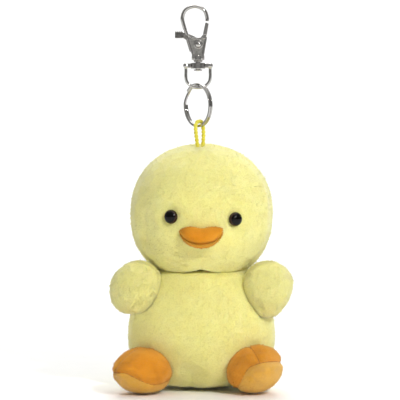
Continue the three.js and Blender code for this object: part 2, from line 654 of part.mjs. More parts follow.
const pouchMiddle = new THREE.Vector3(TORSO.x, TORSO.y + 3, SEAT_Z + FABRIC + GAP + POUCH_HEIGHT / 2);
const pouchForm = (grow) =>
  softForm({
    middle: pouchMiddle,
    width: TORSO_WIDTH - 2 * POUCH_SIDE_MARGIN,
    depth: TORSO_DEPTH - 2 * POUCH_FRONT_MARGIN,
    up: POUCH_HEIGHT / 2,
    down: POUCH_HEIGHT / 2,
    grow,
    around: 16,
    rows: 8,
  });
const torsoFill = softForm({
  middle: TORSO,
  width: TORSO_WIDTH,
  depth: TORSO_DEPTH,
  up: TORSO_UP,
  down: TORSO_DOWN,
  fullness: TORSO_FULLNESS,
  grow: -FABRIC - 2 * GAP,
  around: 18,
  rows: 12,
});
const pouchFloor = SEAT_Z + FABRIC + GAP;
const pouchWell = block(
  [pouchMiddle.x - 6, pouchMiddle.y - 6, SEAT_Z],
  [pouchMiddle.x + 6, pouchMiddle.y + 6, pouchMiddle.z],
);
addPiece("pellet_pouch", pouchForm(0), POUCH_CLOTH);
addPiece(
  "torso_stuffing",
  cut(torsoFill, below(pouchFloor), above(NECK_Z - GAP / 2), pouchForm(GAP), pouchWell),
  POLYFILL,
);

const tailMiddle = new THREE.Vector3(TORSO.x, TORSO.y + TORSO_DEPTH / 2 - 1, TORSO_Z - 10);
const tail = softForm({
  middle: tailMiddle,
  width: TAIL_SIZE[0],
  depth: TAIL_SIZE[1],
  up: TAIL_SIZE[2] / 2,
  down: TAIL_SIZE[2] / 2,
  around: 14,
  rows: 8,
});
addPiece("tail", cut(tail, torsoForm(GAP)), YELLOW_PLUSH);

// ---------- wings ----------
for (const [side, sign] of [["left", 1], ["right", -1]]) {
  const middle = new THREE.Vector3(
    TORSO.x + sign * (TORSO_WIDTH / 2 + WING_OUT),
    TORSO.y - (TORSO_DEPTH / 2 - WING_INSET),
    TORSO_Z + WING_LEVEL,
  );
  const wing = (grow, around = 16, rows = 10) =>
    softForm({
      middle,
      width: WING_SIZE[0],
      depth: WING_SIZE[1],
      up: WING_SIZE[2] / 2,
      down: WING_SIZE[2] / 2,
      grow,
      around,
      rows,
    });
  const clearOf = [torsoForm(1.5 * GAP), headForm(2 * GAP)];
  const skin = cut(wing(0), wing(-FABRIC), ...clearOf);
  addPiece(`${side}_wing_front`, cut(skin, behind(middle.y - SEAM_GAP / 2)), YELLOW_PLUSH);
  addPiece(`${side}_wing_back`, cut(skin, inFrontOf(middle.y + SEAM_GAP / 2)), YELLOW_PLUSH);
  addPiece(`${side}_wing_stuffing`, cut(wing(-FABRIC - GAP, 12, 8), ...clearOf), POLYFILL);
}

// ---------- feet: an upper and a sole over one wad of stuffing, the toe narrower than the heel ----------
function footForm(side, grow, around = 16, rows = 10) {
  const { out, inset, toeOut, toeUp, lean, rise } = FEET[side];
  const forward = TORSO_DEPTH / 2 - inset;
  const sign = side === "left" ? 1 : -1;
  const form = new THREE.SphereGeometry(1, around, rows);
  const place = form.getAttribute("position");
  for (let i = 0; i < place.count; i++) {
    const toward = -place.getY(i); // 1 at the toe, -1 at the heel
    const narrow = 1 - FOOT_POINT * Math.max(toward, 0) ** 2;
    place.setXYZ(
      i,
      place.getX(i) * narrow * (FOOT_WIDTH / 2 + grow),
      place.getY(i) * (FOOT_LENGTH / 2 + grow),
      place.getZ(i) * narrow * (FOOT_HEIGHT / 2 + grow),
    );
  }
  return { geometry: form, pose: footPose(sign, out, forward, toeOut, toeUp, lean, rise) };
}

function footPose(sign, out, forward, toeOut, toeUp, lean, rise) {
  const turns = new THREE.Euler(
    THREE.MathUtils.degToRad(-toeUp),
    THREE.MathUtils.degToRad(-sign * lean),
    THREE.MathUtils.degToRad(sign * toeOut),
    "ZYX",
  );
  const at = new THREE.Vector3(TORSO.x + sign * out, TORSO.y - forward, TORSO_Z - FOOT_LEVEL + rise);
  const turn = new THREE.Quaternion().setFromEuler(turns);
  return new THREE.Matrix4().compose(at, turn, new THREE.Vector3(1, 1, 1));
}

function footSolid(side, grow, around, rows) {
  const { geometry, pose } = footForm(side, grow, around, rows);
  return solidFrom(geometry.applyMatrix4(pose));
}

for (const side of ["left", "right"]) {
  const { pose } = footForm(side, 0);
  const clearOf = [torsoForm(1.5 * GAP), below(SEAT_Z + GAP)];
  const skin = cut(footSolid(side, 0), footSolid(side, -FABRIC), ...clearOf);
  const reach = FOOT_LENGTH;
  const upperHalf = new THREE.BoxGeometry(2 * reach, 2 * reach, reach);
  const soleHalf = upperHalf.clone();
  upperHalf.translate(0, 0, reach / 2 - SOLE_DROP + SEAM_GAP / 2);
  soleHalf.translate(0, 0, -reach / 2 - SOLE_DROP - SEAM_GAP / 2);
  addPiece(`${side}_foot_upper`, skin.intersect(solidFrom(upperHalf.applyMatrix4(pose))), ORANGE_PLUSH);
  addPiece(`${side}_foot_sole`, skin.intersect(solidFrom(soleHalf.applyMatrix4(pose))), SOLE_PLUSH);
  addPiece(`${side}_foot_stuffing`, cut(footSolid(side, -FABRIC - GAP, 12, 8), ...clearOf), POLYFILL);
}

export default duckling;
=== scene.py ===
# %% [markdown]
# # A plush duckling on a key clip
# The CAD model gives every piece its place. This script dresses it: chrome hardware, a twisted cord,
# short-pile plush that has been stuffed and sewn, stitched feet and glossy eyes.
# Everything is in metres, +Z is up, and the duckling faces -Y.

import math

import bmesh
import bpy
import numpy as np
from mathutils import Matrix, Vector, noise


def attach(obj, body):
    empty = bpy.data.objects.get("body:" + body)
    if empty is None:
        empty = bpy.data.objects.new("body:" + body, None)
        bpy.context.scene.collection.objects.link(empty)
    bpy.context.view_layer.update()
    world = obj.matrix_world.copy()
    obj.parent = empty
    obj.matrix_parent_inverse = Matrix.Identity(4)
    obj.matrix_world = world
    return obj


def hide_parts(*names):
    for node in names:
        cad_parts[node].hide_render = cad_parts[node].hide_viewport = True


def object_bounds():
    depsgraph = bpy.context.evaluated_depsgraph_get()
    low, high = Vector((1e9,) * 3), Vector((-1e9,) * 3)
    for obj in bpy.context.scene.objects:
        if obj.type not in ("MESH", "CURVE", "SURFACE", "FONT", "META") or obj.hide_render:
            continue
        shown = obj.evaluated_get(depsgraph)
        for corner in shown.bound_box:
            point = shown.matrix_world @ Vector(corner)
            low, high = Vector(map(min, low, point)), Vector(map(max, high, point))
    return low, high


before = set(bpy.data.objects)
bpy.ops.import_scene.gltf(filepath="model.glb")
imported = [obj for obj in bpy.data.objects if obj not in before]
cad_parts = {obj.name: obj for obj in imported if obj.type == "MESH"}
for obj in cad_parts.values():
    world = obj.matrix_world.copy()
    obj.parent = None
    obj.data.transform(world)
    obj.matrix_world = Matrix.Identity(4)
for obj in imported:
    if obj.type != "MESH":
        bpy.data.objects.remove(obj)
cad_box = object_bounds()
MM = 0.001

# %% [markdown]
# ## Camera
# A key clip is small, so it is looked at from far away with a long lens. That keeps the hook and the feet
# in proportion. The camera stands a little above the middle of the model and looks slightly down.

# %% Camera
CAMERA_DISTANCE = 1.3
CAMERA_RISE = math.radians(4)
VIEW_WIDTH = 184 * MM
AIM_SHIFT = Vector((-0.7, 0, -1.6)) * MM
SENSOR = 36.0



def add_to_scene(name, data):
    thing = bpy.data.objects.new(name, data)
    bpy.context.scene.collection.objects.link(thing)
    return thing


low, high = (Vector(corner) for corner in cad_box)
aim = Vector(((low.x + high.x) / 2, 0, (low.z + high.z) / 2)) + AIM_SHIFT
lens = bpy.data.cameras.new("camera")
lens.sensor_width = SENSOR
lens.lens = SENSOR * CAMERA_DISTANCE / VIEW_WIDTH
lens.clip_end = 20
camera = add_to_scene("camera", lens)
camera.location = aim + CAMERA_DISTANCE * Vector((0, -math.cos(CAMERA_RISE), math.sin(CAMERA_RISE)))
camera.rotation_euler = (aim - camera.location).to_track_quat("-Z", "Y").to_euler()
bpy.context.scene.camera = camera
bpy.context.scene.view_settings.view_transform = "Standard"
print("lens:", round(lens.lens), "mm, aimed at", [round(x, 4) for x in aim])

# %% [markdown]
# ## Small tools for meshes
# Most pieces here start as a list of points and faces worked out with numpy. One helper turns such a list
# into an object, and one reads and writes all the points of a mesh at once, which is far quicker than a
# loop over vertices. Points are kept in millimetres in the lists, and in metres in the meshes.


# %% Mesh helpers
def new_piece(name, points, faces):
    mesh = bpy.data.meshes.new(name)
    mesh.from_pydata([tuple(MM * x for x in p) for p in points], [], [tuple(f) for f in faces])
    mesh.validate()
    mesh.polygons.foreach_set("use_smooth", [True] * len(mesh.polygons))
    return add_to_scene(name, mesh)


def read_all(items, name):
    values = np.empty(len(items) * 3)
    items.foreach_get(name, values)
    return values.reshape(-1, 3)


def get_points(piece):
    return read_all(piece.data.vertices, "co") / MM


def set_points(piece, points):
    piece.data.vertices.foreach_set("co", (np.asarray(points, float) * MM).ravel())
    piece.data.update()


def get_normals(piece):
    return read_all(piece.data.vertices, "normal")


def apply_modifiers(piece):
    graph = bpy.context.evaluated_depsgraph_get()
    baked = bpy.data.meshes.new_from_object(piece.evaluated_get(graph), depsgraph=graph)
    piece.modifiers.clear()
    old = piece.data
    piece.data = baked
    bpy.data.meshes.remove(old)
    baked.polygons.foreach_set("use_smooth", [True] * len(baked.polygons))
    return piece


def subdivide(piece, levels=1):
    modifier = piece.modifiers.new("finer", "SUBSURF")
    modifier.levels = levels
    modifier.render_levels = levels
    return apply_modifiers(piece)


def shade_by_angle(piece, degrees=35):
    piece.data.set_sharp_from_angle(angle=math.radians(degrees))
    return piece


def bevel(piece, width, segments=3, degrees=30):
    modifier = piece.modifiers.new("edge", "BEVEL")
    modifier.width = width * MM
    modifier.segments = segments
    modifier.limit_method = "ANGLE"
    modifier.angle_limit = math.radians(degrees)
    return apply_modifiers(piece)


def fine_noise(points, size, seed=0.0):
    shift = Vector((seed, 1.7 * seed, -seed))
    return np.array([noise.noise(Vector(p) / size + shift) for p in points])


# %% [markdown]
# A bent wire is a ring of points carried along a line. The ring must not spin as it goes, so each step
# turns the last ring's axes by the smallest turn that follows the line.


# %% Sweeps
def smooth_line(knots, per_span=12):
    """Points on a centripetal Catmull-Rom curve through the knots."""
    knots = [Vector(k) for k in knots]
    knots = [2 * knots[0] - knots[1], *knots, 2 * knots[-1] - knots[-2]]
    line = []
    for a, b, c, d in zip(knots, knots[1:], knots[2:], knots[3:]):
        t1 = (b - a).length ** 0.5
        t2 = t1 + (c - b).length ** 0.5
        t3 = t2 + (d - c).length ** 0.5
        for k in range(per_span):
            t = t1 + (t2 - t1) * k / per_span
            ab, bc, cd = a.lerp(b, t / t1), b.lerp(c, (t - t1) / (t2 - t1)), c.lerp(d, (t - t2) / (t3 - t2))
            abc, bcd = ab.lerp(bc, t / t2), bc.lerp(cd, (t - t1) / (t3 - t1))
            line.append(abc.lerp(bcd, (t - t1) / (t2 - t1)))
    return [*line, knots[-2]]


def line_axes(line, first=Vector((0, 1, 0))):
    """A side and an up direction at each point of the line, turned as little as possible."""
    axes = []
    side = first
    for i, point in enumerate(line):
        ahead = (line[min(i + 1, len(line) - 1)] - line[max(i - 1, 0)]).normalized()
        side = (side - side.dot(ahead) * ahead).normalized()
        axes.append((side, ahead.cross(side)))
    return axes


def sweep(name, line, section, first=Vector((0, 1, 0)), closed=False, twist=None):
    """Carries a closed section of (side, up) pairs along a line, and caps both ends."""
    points, faces = [], []
    count = len(section)
    for i, (point, (side, up)) in enumerate(zip(line, line_axes(line, first))):
        turn = twist(i) if twist else 0.0
        for s, u in section:
            cs, cu = s * math.cos(turn) - u * math.sin(turn), s * math.sin(turn) + u * math.cos(turn)
            points.append(point + cs * side + cu * up)
    rings = len(line)
    for i in range(rings if closed else rings - 1):
        here, there = i * count, (i + 1) % rings * count
        for k in range(count):
            n = (k + 1) % count
            faces.append((here + k, here + n, there + n, there + k))
    if not closed:
        faces.append(tuple(range(count))[::-1])
        faces.append(tuple(range((rings - 1) * count, rings * count)))
    return new_piece(name, points, faces)


def oval(across, deep, sides=24):
    turns = [2 * math.pi * k / sides for k in range(sides)]
    return [(deep / 2 * math.cos(t), across / 2 * math.sin(t)) for t in turns]


def turned(name, profile, sides=48):
    """A turned shape about Z from (radius, level) pairs. A radius of 0 closes it on the axis."""
    points, rings, faces = [], [], []
    for radius, level in profile:
        rings.append([len(points) + k for k in range(sides if radius else 1)])
        for t in [2 * math.pi * k / sides for k in range(sides if radius else 1)]:
            points.append((radius * math.cos(t), radius * math.sin(t), level))
    pairs = list(zip(rings, rings[1:]))
    if profile[0][0] and profile[-1][0]:
        pairs.append((rings[-1], rings[0]))
    for lower, upper in pairs:
        for k in range(sides):
            n = (k + 1) % sides
            ring = [loop[i % len(loop)] for loop, i in ((lower, k), (lower, n), (upper, n), (upper, k))]
            faces.append(list(dict.fromkeys(ring)))
    return new_piece(name, points, [f for f in faces if len(f) > 2])


def tidy_normals(piece):
    mesh = bmesh.new()
    mesh.from_mesh(piece.data)
    bmesh.ops.recalc_face_normals(mesh, faces=mesh.faces)
    mesh.to_mesh(piece.data)
    mesh.free()
    return piece


# %% [markdown]
# ## Finishes
# Every finish is built from nodes. Cloth gets two sizes of noise, a broad one for the way pile lies in
# patches and a fine one for the tufts, plus a sheen that lightens the edges as fine fibres do. Some light
# passes under its surface too, which softens the creases. Metal gets a very low roughness with a faint
# mottling, because plated castings are never quite flat.


# %% Finish helpers
def start_finish(name):
    material = bpy.data.materials.new(name)
    material.use_nodes = True
    nodes, links = material.node_tree.nodes, material.node_tree.links
    shader = nodes["Principled BSDF"]
    place = nodes.new("ShaderNodeTexCoord")
    return material, nodes, links, shader, place


def set_inputs(node, values):
    for name, value in values.items():
        node.inputs[name].default_value = value


def add_noise(nodes, links, place, scale, detail=3.0, rough=0.6, stretch=(1, 1, 1)):
    mapping = nodes.new("ShaderNodeMapping")
    set_inputs(mapping, {"Scale": stretch})
    texture = nodes.new("ShaderNodeTexNoise")
    set_inputs(texture, {"Scale": scale, "Detail": detail, "Roughness": rough})
    links.new(place.outputs["Object"], mapping.inputs["Vector"])
    links.new(mapping.outputs["Vector"], texture.inputs["Vector"])
    return texture.outputs["Fac"]


def add_ramp(nodes, links, source, stops):
    ramp = nodes.new("ShaderNodeValToRGB")
    while len(ramp.color_ramp.elements) < len(stops):
        ramp.color_ramp.elements.new(0.5)
    for element, (at, colour) in zip(ramp.color_ramp.elements, stops):
        element.position = at
        element.color = (*colour, 1.0)
    links.new(source, ramp.inputs["Fac"])
    return ramp.outputs["Color"]


def add_bump(nodes, links, shader, source, strength, distance, below=None):
    bump = nodes.new("ShaderNodeBump")
    set_inputs(bump, {"Strength": strength, "Distance": distance})
    links.new(source, bump.inputs["Height"])
    if below:
        links.new(below, bump.inputs["Normal"])
    links.new(bump.outputs["Normal"], shader.inputs["Normal"])
    return bump.outputs["Normal"]


def add_mix(nodes, links, first, second, share):
    mix = nodes.new("ShaderNodeMix")
    mix.data_type = "RGBA"
    mix.blend_type = "MULTIPLY"
    set_inputs(mix, {"Factor": share})
    links.new(first, mix.inputs["A"])
    links.new(second, mix.inputs["B"])
    return mix.outputs["Result"]


# %% Plush and felt
def plush_finish(name, deep, body, light, tuft=1500, patch=120, sheen=0.35, tint=(1, 1, 0.9)):
    material, nodes, links, shader, place = start_finish(name)
    patches = add_noise(nodes, links, place, patch, detail=2.0)
    tufts = add_noise(nodes, links, place, tuft, detail=4.0, rough=0.7)
    broad = add_ramp(nodes, links, patches, [(0.30, deep), (0.5, body), (0.72, light)])
    speck = add_ramp(nodes, links, tufts, [(0.30, (0.85, 0.84, 0.78)), (0.55, (1, 1, 1))])
    links.new(add_mix(nodes, links, broad, speck, 0.8), shader.inputs["Base Color"])
    set_inputs(shader, {
        "Roughness": 0.95, "Specular IOR Level": 0.15,
        "Sheen Weight": sheen, "Sheen Roughness": 0.55, "Sheen Tint": (*tint, 1),
        "Subsurface Weight": 0.5, "Subsurface Radius": (1.0, 0.8, 0.4), "Subsurface Scale": 3.5 * MM,
    })
    soft = add_bump(nodes, links, shader, patches, 0.25, 1.5 * MM)
    add_bump(nodes, links, shader, tufts, 0.55, 0.5 * MM, soft)
    return material


YELLOW = plush_finish("yellow_plush", (0.88, 0.815, 0.28), (0.90, 0.84, 0.30), (0.92, 0.865, 0.335))
ORANGE = plush_finish(
    "orange_plush", (0.76, 0.275, 0.015), (0.86, 0.33, 0.022), (0.90, 0.37, 0.035),
    tuft=2600, sheen=0.2, tint=(1, 0.8, 0.6),
)
SOLE = plush_finish(
    "sole_plush", (0.87, 0.44, 0.055), (0.93, 0.49, 0.075), (0.95, 0.53, 0.10),
    tuft=2600, sheen=0.25, tint=(1, 0.85, 0.65),
)
BEAK_FELT = plush_finish(
    "beak_plush", (0.74, 0.255, 0.011), (0.86, 0.315, 0.016), (0.90, 0.36, 0.026),
    tuft=2800, sheen=0.08, tint=(1, 0.8, 0.6),
)


# %% Fibre, thread and cord
def fibre_finish(name, dark, light, scale, stretch, sheen=0.3):
    material, nodes, links, shader, place = start_finish(name)
    strands = add_noise(nodes, links, place, scale, detail=5.0, rough=0.7, stretch=stretch)
    links.new(add_ramp(nodes, links, strands, [(0.3, dark), (0.65, light)]), shader.inputs["Base Color"])
    set_inputs(shader, {"Roughness": 0.7, "Sheen Weight": sheen, "Sheen Roughness": 0.4})
    add_bump(nodes, links, shader, strands, 0.5, 0.1 * MM)
    return material


CORD = fibre_finish("cord_yarn", (0.66, 0.57, 0.03), (0.90, 0.82, 0.10), 5200, (1, 1, 0.35))
POLYFILL = fibre_finish("polyester_fibre", (0.78, 0.78, 0.75), (0.92, 0.92, 0.90), 1200, (1, 1, 0.3))
POUCH_CLOTH = fibre_finish("pouch_cloth", (0.60, 0.57, 0.48), (0.76, 0.73, 0.65), 3000, (1, 4, 1))
DARK_THREAD = fibre_finish(
    "dark_orange_thread", (0.38, 0.10, 0.008), (0.66, 0.22, 0.016), 2200, (1, 1, 1), sheen=0.1,
)


# %% Metal and plastic
def metal_finish(name, colour, roughness, mottle):
    material, nodes, links, shader, place = start_finish(name)
    spots = add_noise(nodes, links, place, 900, detail=3.0)
    fine = add_noise(nodes, links, place, 4200, detail=2.0)
    dark = tuple(c * (1 - mottle) for c in colour)
    links.new(add_ramp(nodes, links, spots, [(0.35, dark), (0.6, colour)]), shader.inputs["Base Color"])
    set_inputs(shader, {"Metallic": 1.0})
    spread = nodes.new("ShaderNodeMapRange")
    set_inputs(spread, {"To Min": roughness * 0.7, "To Max": roughness * 1.5})
    links.new(fine, spread.inputs["Value"])
    links.new(spread.outputs["Result"], shader.inputs["Roughness"])
    add_bump(nodes, links, shader, spots, 0.12, 0.08 * MM)
    return material


CHROME = metal_finish("bright_chrome", (0.50, 0.485, 0.46), 0.08, 0.12)
CAST_FACE = metal_finish("cast_face", (0.36, 0.35, 0.325), 0.3, 0.35)
TAB_METAL = metal_finish("worn_tab", (0.22, 0.215, 0.20), 0.25, 0.35)
SPRING = metal_finish("spring_steel", (0.50, 0.50, 0.52), 0.28, 0.15)


def plastic_finish(name, colour, roughness, coat, gloss=0.3):
    material, nodes, links, shader, place = start_finish(name)
    cloud = add_noise(nodes, links, place, 700, detail=2.0)
    dark = tuple(c * 0.7 for c in colour)
    links.new(add_ramp(nodes, links, cloud, [(0.3, dark), (0.7, colour)]), shader.inputs["Base Color"])
    set_inputs(shader, {
        "Roughness": roughness, "Specular IOR Level": gloss, "Coat Weight": coat, "Coat Roughness": 0.03,
    })
    return material


PUPIL = plastic_finish("eye_pupil", (0.002, 0.0015, 0.001), 0.04, 0.0, gloss=0.2)
IRIS = plastic_finish("eye_rim", (0.03, 0.012, 0.005), 0.25, 0.2)
WASHER = plastic_finish("washer_plastic", (0.78, 0.78, 0.75), 0.45, 0.0)
print("finishes:", len(bpy.data.materials))


def dress(piece, material, body, slot, *nodes):
    """Gives a piece its finish, its body and the CAD nodes that it stands for."""
    if not piece.data.materials:
        piece.data.materials.append(material)
    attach(piece, body)
    if nodes:
        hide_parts(*nodes)
    return piece


# %% [markdown]
# ## Cast hardware
# A cheap snap hook is die-cast, tumbled and plated, so none of its edges is crisp. The quickest way to that
# look is to put plain closed shapes together, cut them with Booleans, wrap the lot in a fine voxel skin and
# smooth it a little. The smoothing leaves the small fillets that plating shows off.


# %% Casting helpers
def boolean(piece, tool, operation="DIFFERENCE"):
    modifier = piece.modifiers.new("cut", "BOOLEAN")
    modifier.operation = operation
    modifier.object = tool
    modifier.solver = "EXACT"
    apply_modifiers(piece)
    return piece


def drop(*pieces):
    for piece in pieces:
        bpy.data.objects.remove(piece)


def prism(name, outline, front, back):
    """A flat outline of (x, z) points, thick along Y."""
    count = len(outline)
    points = [(x, y, z) for y in (front, back) for x, z in outline]
    faces = [range(count), range(2 * count - 1, count - 1, -1)]
    faces += [(k, k + count, (k + 1) % count + count, (k + 1) % count) for k in range(count)]
    return tidy_normals(new_piece(name, points, faces))


def brick(name, corner, opposite):
    (x0, y0, z0), (x1, y1, z1) = corner, opposite
    return prism(name, [(x0, z0), (x1, z0), (x1, z1), (x0, z1)], y0, y1)


def ball(name, middle, radius, segments=32):
    steps = [math.pi * k / (segments // 2) for k in range(segments // 2 + 1)]
    profile = [(radius * math.sin(t), -radius * math.cos(t)) for t in steps]
    profile[0], profile[-1] = (0, -radius), (0, radius)
    piece = turned(name, profile, segments)
    set_points(piece, get_points(piece) + np.array(middle))
    return tidy_normals(piece)


def barrel(name, radius, start, end, sides=48):
    return tidy_normals(turned(name, [(0, start), (radius, start), (radius, end), (0, end)], sides))


def lay_along_y(piece, x, z):
    """Turns a shape that was made about Z so that it lies about Y, at (x, z)."""
    points = get_points(piece)
    set_points(piece, np.stack([points[:, 0] + x, points[:, 2], points[:, 1] + z], 1))
    piece.data.flip_normals()
    return piece


def cast(name, shapes, voxel=0.13, rounds=4):
    """Several closed shapes, skinned as one casting."""
    whole = shapes[0]
    with bpy.context.temp_override(active_object=whole, selected_editable_objects=shapes):
        bpy.ops.object.join()
    whole.name = name
    skin = whole.modifiers.new("skin", "REMESH")
    skin.mode = "VOXEL"
    skin.voxel_size = 1 * voxel * MM
    smooth = whole.modifiers.new("tumble", "SMOOTH")
    smooth.factor = 0.5
    smooth.iterations = rounds
    return apply_modifiers(whole)


# %% [markdown]
# ### Snap hook
# One casting: a bow of oval wire, a waisted plate with a sunk, rough-cast face and a bright rim, and a
# collar above a short neck. A slot through the plate leaves room for the gate.

# %% Snap hook
PLATE_TOP, COLLAR_TOP, NECK_TOP, NECK_BOTTOM = -13.2, -21.6, -23.7, -24.6
HOOK_FRONT, SLOT_FRONT, SLOT_BACK, HOOK_BACK = -2.65, -1.55, 1.8, 2.65
BOW_Y, BOW_MIDDLE = -0.85, -1.5
RIVET_X, RIVET_Z = 0.1, -16.4


def plate_outline(inset=0.0):
    left, right, foot = -5.15 + inset, 4.05 - inset, 2.8 - inset
    shoulder = PLATE_TOP - inset
    return [
        (left, shoulder + 1.2), (-2.95, shoulder + 0.1), (-1.2, shoulder - 0.2), (1.6, shoulder - 0.1),
        (right, shoulder + 0.2), (right, PLATE_TOP - 0.8), (foot, COLLAR_TOP + inset),
        (-foot, COLLAR_TOP + inset), (left, PLATE_TOP - 0.4),
    ]


bow_line = smooth_line([
    (-4.05, BOW_Y, -14.4), (-4.85, BOW_Y, -12.6), (-6.68, BOW_Y, -7.26), (-7.17, BOW_Y, -4.36),
    (-5.8, BOW_Y, -0.92), (BOW_MIDDLE, BOW_Y, 0.92), (2.8, BOW_Y, -0.92), (4.17, BOW_Y, -4.36),
    (4.17, BOW_Y, -5.9),
])
bow = tidy_normals(sweep("bow", bow_line, oval(1.8, 2.75, 28)))
slot_tool = brick("slot", (-12, SLOT_FRONT, COLLAR_TOP), (BOW_MIDDLE, SLOT_BACK, PLATE_TOP + 3.6))
boolean(bow, slot_tool)
front_wall = prism("front_wall", plate_outline(), HOOK_FRONT, SLOT_FRONT)
sunk_face = prism("sunk_face", plate_outline(0.75), HOOK_FRONT - 1, HOOK_FRONT + 0.35)
boolean(front_wall, sunk_face)
rivet_seat = barrel("rivet_seat", 1.95, HOOK_FRONT + 0.1, HOOK_FRONT + 0.5)
lay_along_y(rivet_seat, RIVET_X, RIVET_Z)
back_wall = prism("back_wall", plate_outline(), SLOT_BACK, HOOK_BACK)
clevis = brick("clevis", (-2.8, HOOK_FRONT, NECK_TOP + 0.6), (2.8, HOOK_BACK, COLLAR_TOP + 0.05))
collar = barrel("collar", 3.0, NECK_TOP, COLLAR_TOP)
neck = barrel("neck", 2.1, NECK_BOTTOM, NECK_TOP + 0.4)
drop(slot_tool, sunk_face)
hook_shapes = [bow, front_wall, rivet_seat, back_wall, clevis, collar, neck]
hook = cast("snap_hook", hook_shapes, voxel=0.12, rounds=3)
hook.data.materials.append(CHROME)
hook.data.materials.append(CAST_FACE)
for face in hook.data.polygons:
    x, y, z = face.center / MM
    off_rivet = math.hypot(x - RIVET_X, z - RIVET_Z) > 2.1
    if off_rivet and face.normal.y < -0.8 and HOOK_FRONT + 0.2 < y < SLOT_FRONT - 0.2 and z < PLATE_TOP:
        face.material_index = 1
dress(hook, CHROME, "hook", "bright_chrome", "hook_body")
print("hook:", len(hook.data.polygons), "faces")

# %% [markdown]
# ### Gate
# The lever is one pressing: an arm that closes the bow, a leaf in the slot and a thumb tab with a few
# ridges, which catch the light as a row of thin lines.

# %% Gate
LEVER_FRONT, LEVER_BACK = -1.25, 0.15
leaf = prism("leaf", [
    (4.05, -12.4), (2.15, -12.1), (0.7, -13.9), (-3.65, -11.9), (-6.95, -11.0), (-6.95, -13.7),
    (-5.55, -14.5), (-3.9, -19.9), (-2.9, -20.2), (-0.6, -18.8), (1.6, -18.2), (2.4, -16.2),
], LEVER_FRONT, LEVER_BACK)
arm = prism("arm", [(4.97, -6.95), (3.4, -6.35), (2.15, -12.2), (4.05, -12.4)], -2.05, 0.35)
tab = brick("tab", (-10.6, -2.1, -13.7), (-6.85, 1.0, -10.8))
ridges = [lay_along_y(barrel("ridge", 0.28, -2.15, 1.05, 16), x, -10.75) for x in (-10.2, -9.3, -8.4, -7.5)]
front_ridges = [brick("ridge", (x, -2.2, -13.6), (x + 0.4, -1.9, -10.9)) for x in (-10.4, -9.5, -8.6, -7.7)]
gate = cast("gate", [bevel(arm, 0.3), bevel(leaf, 0.15), bevel(tab, 0.4), *ridges, *front_ridges], 0.12, 3)
gate_bore = lay_along_y(barrel("gate_bore", 1.3, -4, 4), RIVET_X, RIVET_Z)
boolean(gate, gate_bore)
drop(gate_bore)
gate.data.materials.append(CHROME)
gate.data.materials.append(TAB_METAL)
for face in gate.data.polygons:
    face.material_index = 1 if face.center.x / MM < -6.9 else 0
dress(gate, CHROME, "gate", "bright_chrome", "gate_lever")

# %% [markdown]
# ### Rivet, spring and swivel pin
# These are turned or bent parts, so a profile carried round an axis or a wire carried along a line is all
# they need.

# %% Rivet, spring and pin
dome = [(1.35 * math.cos(t), 0.6 * math.sin(t)) for t in [math.pi / 2 * k / 8 for k in range(9)]]
front_head = [(max(r, 0), -2.75 - h) for r, h in dome]
back_head = [(max(r, 0), 2.75 + h) for r, h in dome]
front_head[-1], back_head[-1] = (0, -3.33), (0, 3.33)
rivet = turned("rivet", [*front_head[::-1], (1.1, -2.7), (1.1, 2.7), *back_head], 40)
lay_along_y(tidy_normals(rivet), RIVET_X, RIVET_Z)
dress(rivet, CHROME, "hook", "bright_chrome", "gate_rivet")

SPRING_TURNS, SPRING_RADIUS, SPRING_PITCH, SPRING_BACK, SPRING_STEPS = 1.6, 1.8, 0.5, 1.3, 96
coil = []
for step in range(SPRING_STEPS + 1):
    turn = 2 * math.pi * SPRING_TURNS * step / SPRING_STEPS
    coil.append(Vector((
        RIVET_X + SPRING_RADIUS * math.sin(turn), SPRING_BACK - SPRING_PITCH * turn / (2 * math.pi),
        RIVET_Z - SPRING_RADIUS * math.cos(turn),
    )))
first_leg = [coil[0] - Vector((d, 0, 0)) for d in (2.0, 1.3, 0.6)]
last_way = (coil[-1] - coil[-2]).normalized()
last_leg = [coil[-1] + d * last_way for d in (0.6, 1.3, 2.0)]
spring = tidy_normals(sweep("spring", [*first_leg, *coil, *last_leg], oval(0.38, 0.38, 12)))
dress(spring, SPRING, "hook", "spring_steel", "gate_spring")

pin = turned("pin", [
    (0, -28.8), (1.5, -28.75), (1.95, -28.5), (2.1, -28.2), (2.05, -27.95), (1.25, -27.9), (1.25, -23.1),
    (1.85, -23.1), (1.88, -22.35), (0, -22.3),
], 40)
shade_by_angle(tidy_normals(pin), 40)
dress(pin, CHROME, "hook", "bright_chrome", "swivel_pin")

# %% [markdown]
# ### Bail
# A thick wire bent into a D, with a cast crossbar and a round boss that turns on the swivel pin.

# %% Bail
BAR_Z, BAIL_HALF, BEND_TOP, BEND = -26.25, 5.55, -31.95, 4.4
arc = [math.pi * k / 10 for k in range(11)]
bail_line = smooth_line([
    (-BAIL_HALF, 0, BAR_Z), (-BAIL_HALF, 0, (BAR_Z + BEND_TOP) / 2),
    *[(-BAIL_HALF * math.cos(t), 0, BEND_TOP - BEND * math.sin(t)) for t in arc],
    (BAIL_HALF, 0, (BAR_Z + BEND_TOP) / 2), (BAIL_HALF, 0, BAR_Z),
], 6)
wire = tidy_normals(sweep("wire", bail_line, oval(1.47, 1.47, 24)))
bar = bevel(brick("bar", (-BAIL_HALF, -1.1, BAR_Z - 1.1), (BAIL_HALF, 1.1, BAR_Z + 1.1)), 0.4)
knobs = [ball("knob", (x, 0, BAR_Z), 1.33) for x in (-BAIL_HALF, BAIL_HALF)]
boss = barrel("boss", 3.35, -27.6, -24.9)
bail = cast("bail_loop", [wire, bar, *knobs, boss], 0.13, 3)
bail_bore = barrel("bail_bore", 1.45, -29, -23)
boolean(bail, bail_bore)
drop(bail_bore)
dress(bail, CHROME, "bail", "bright_chrome", "bail")

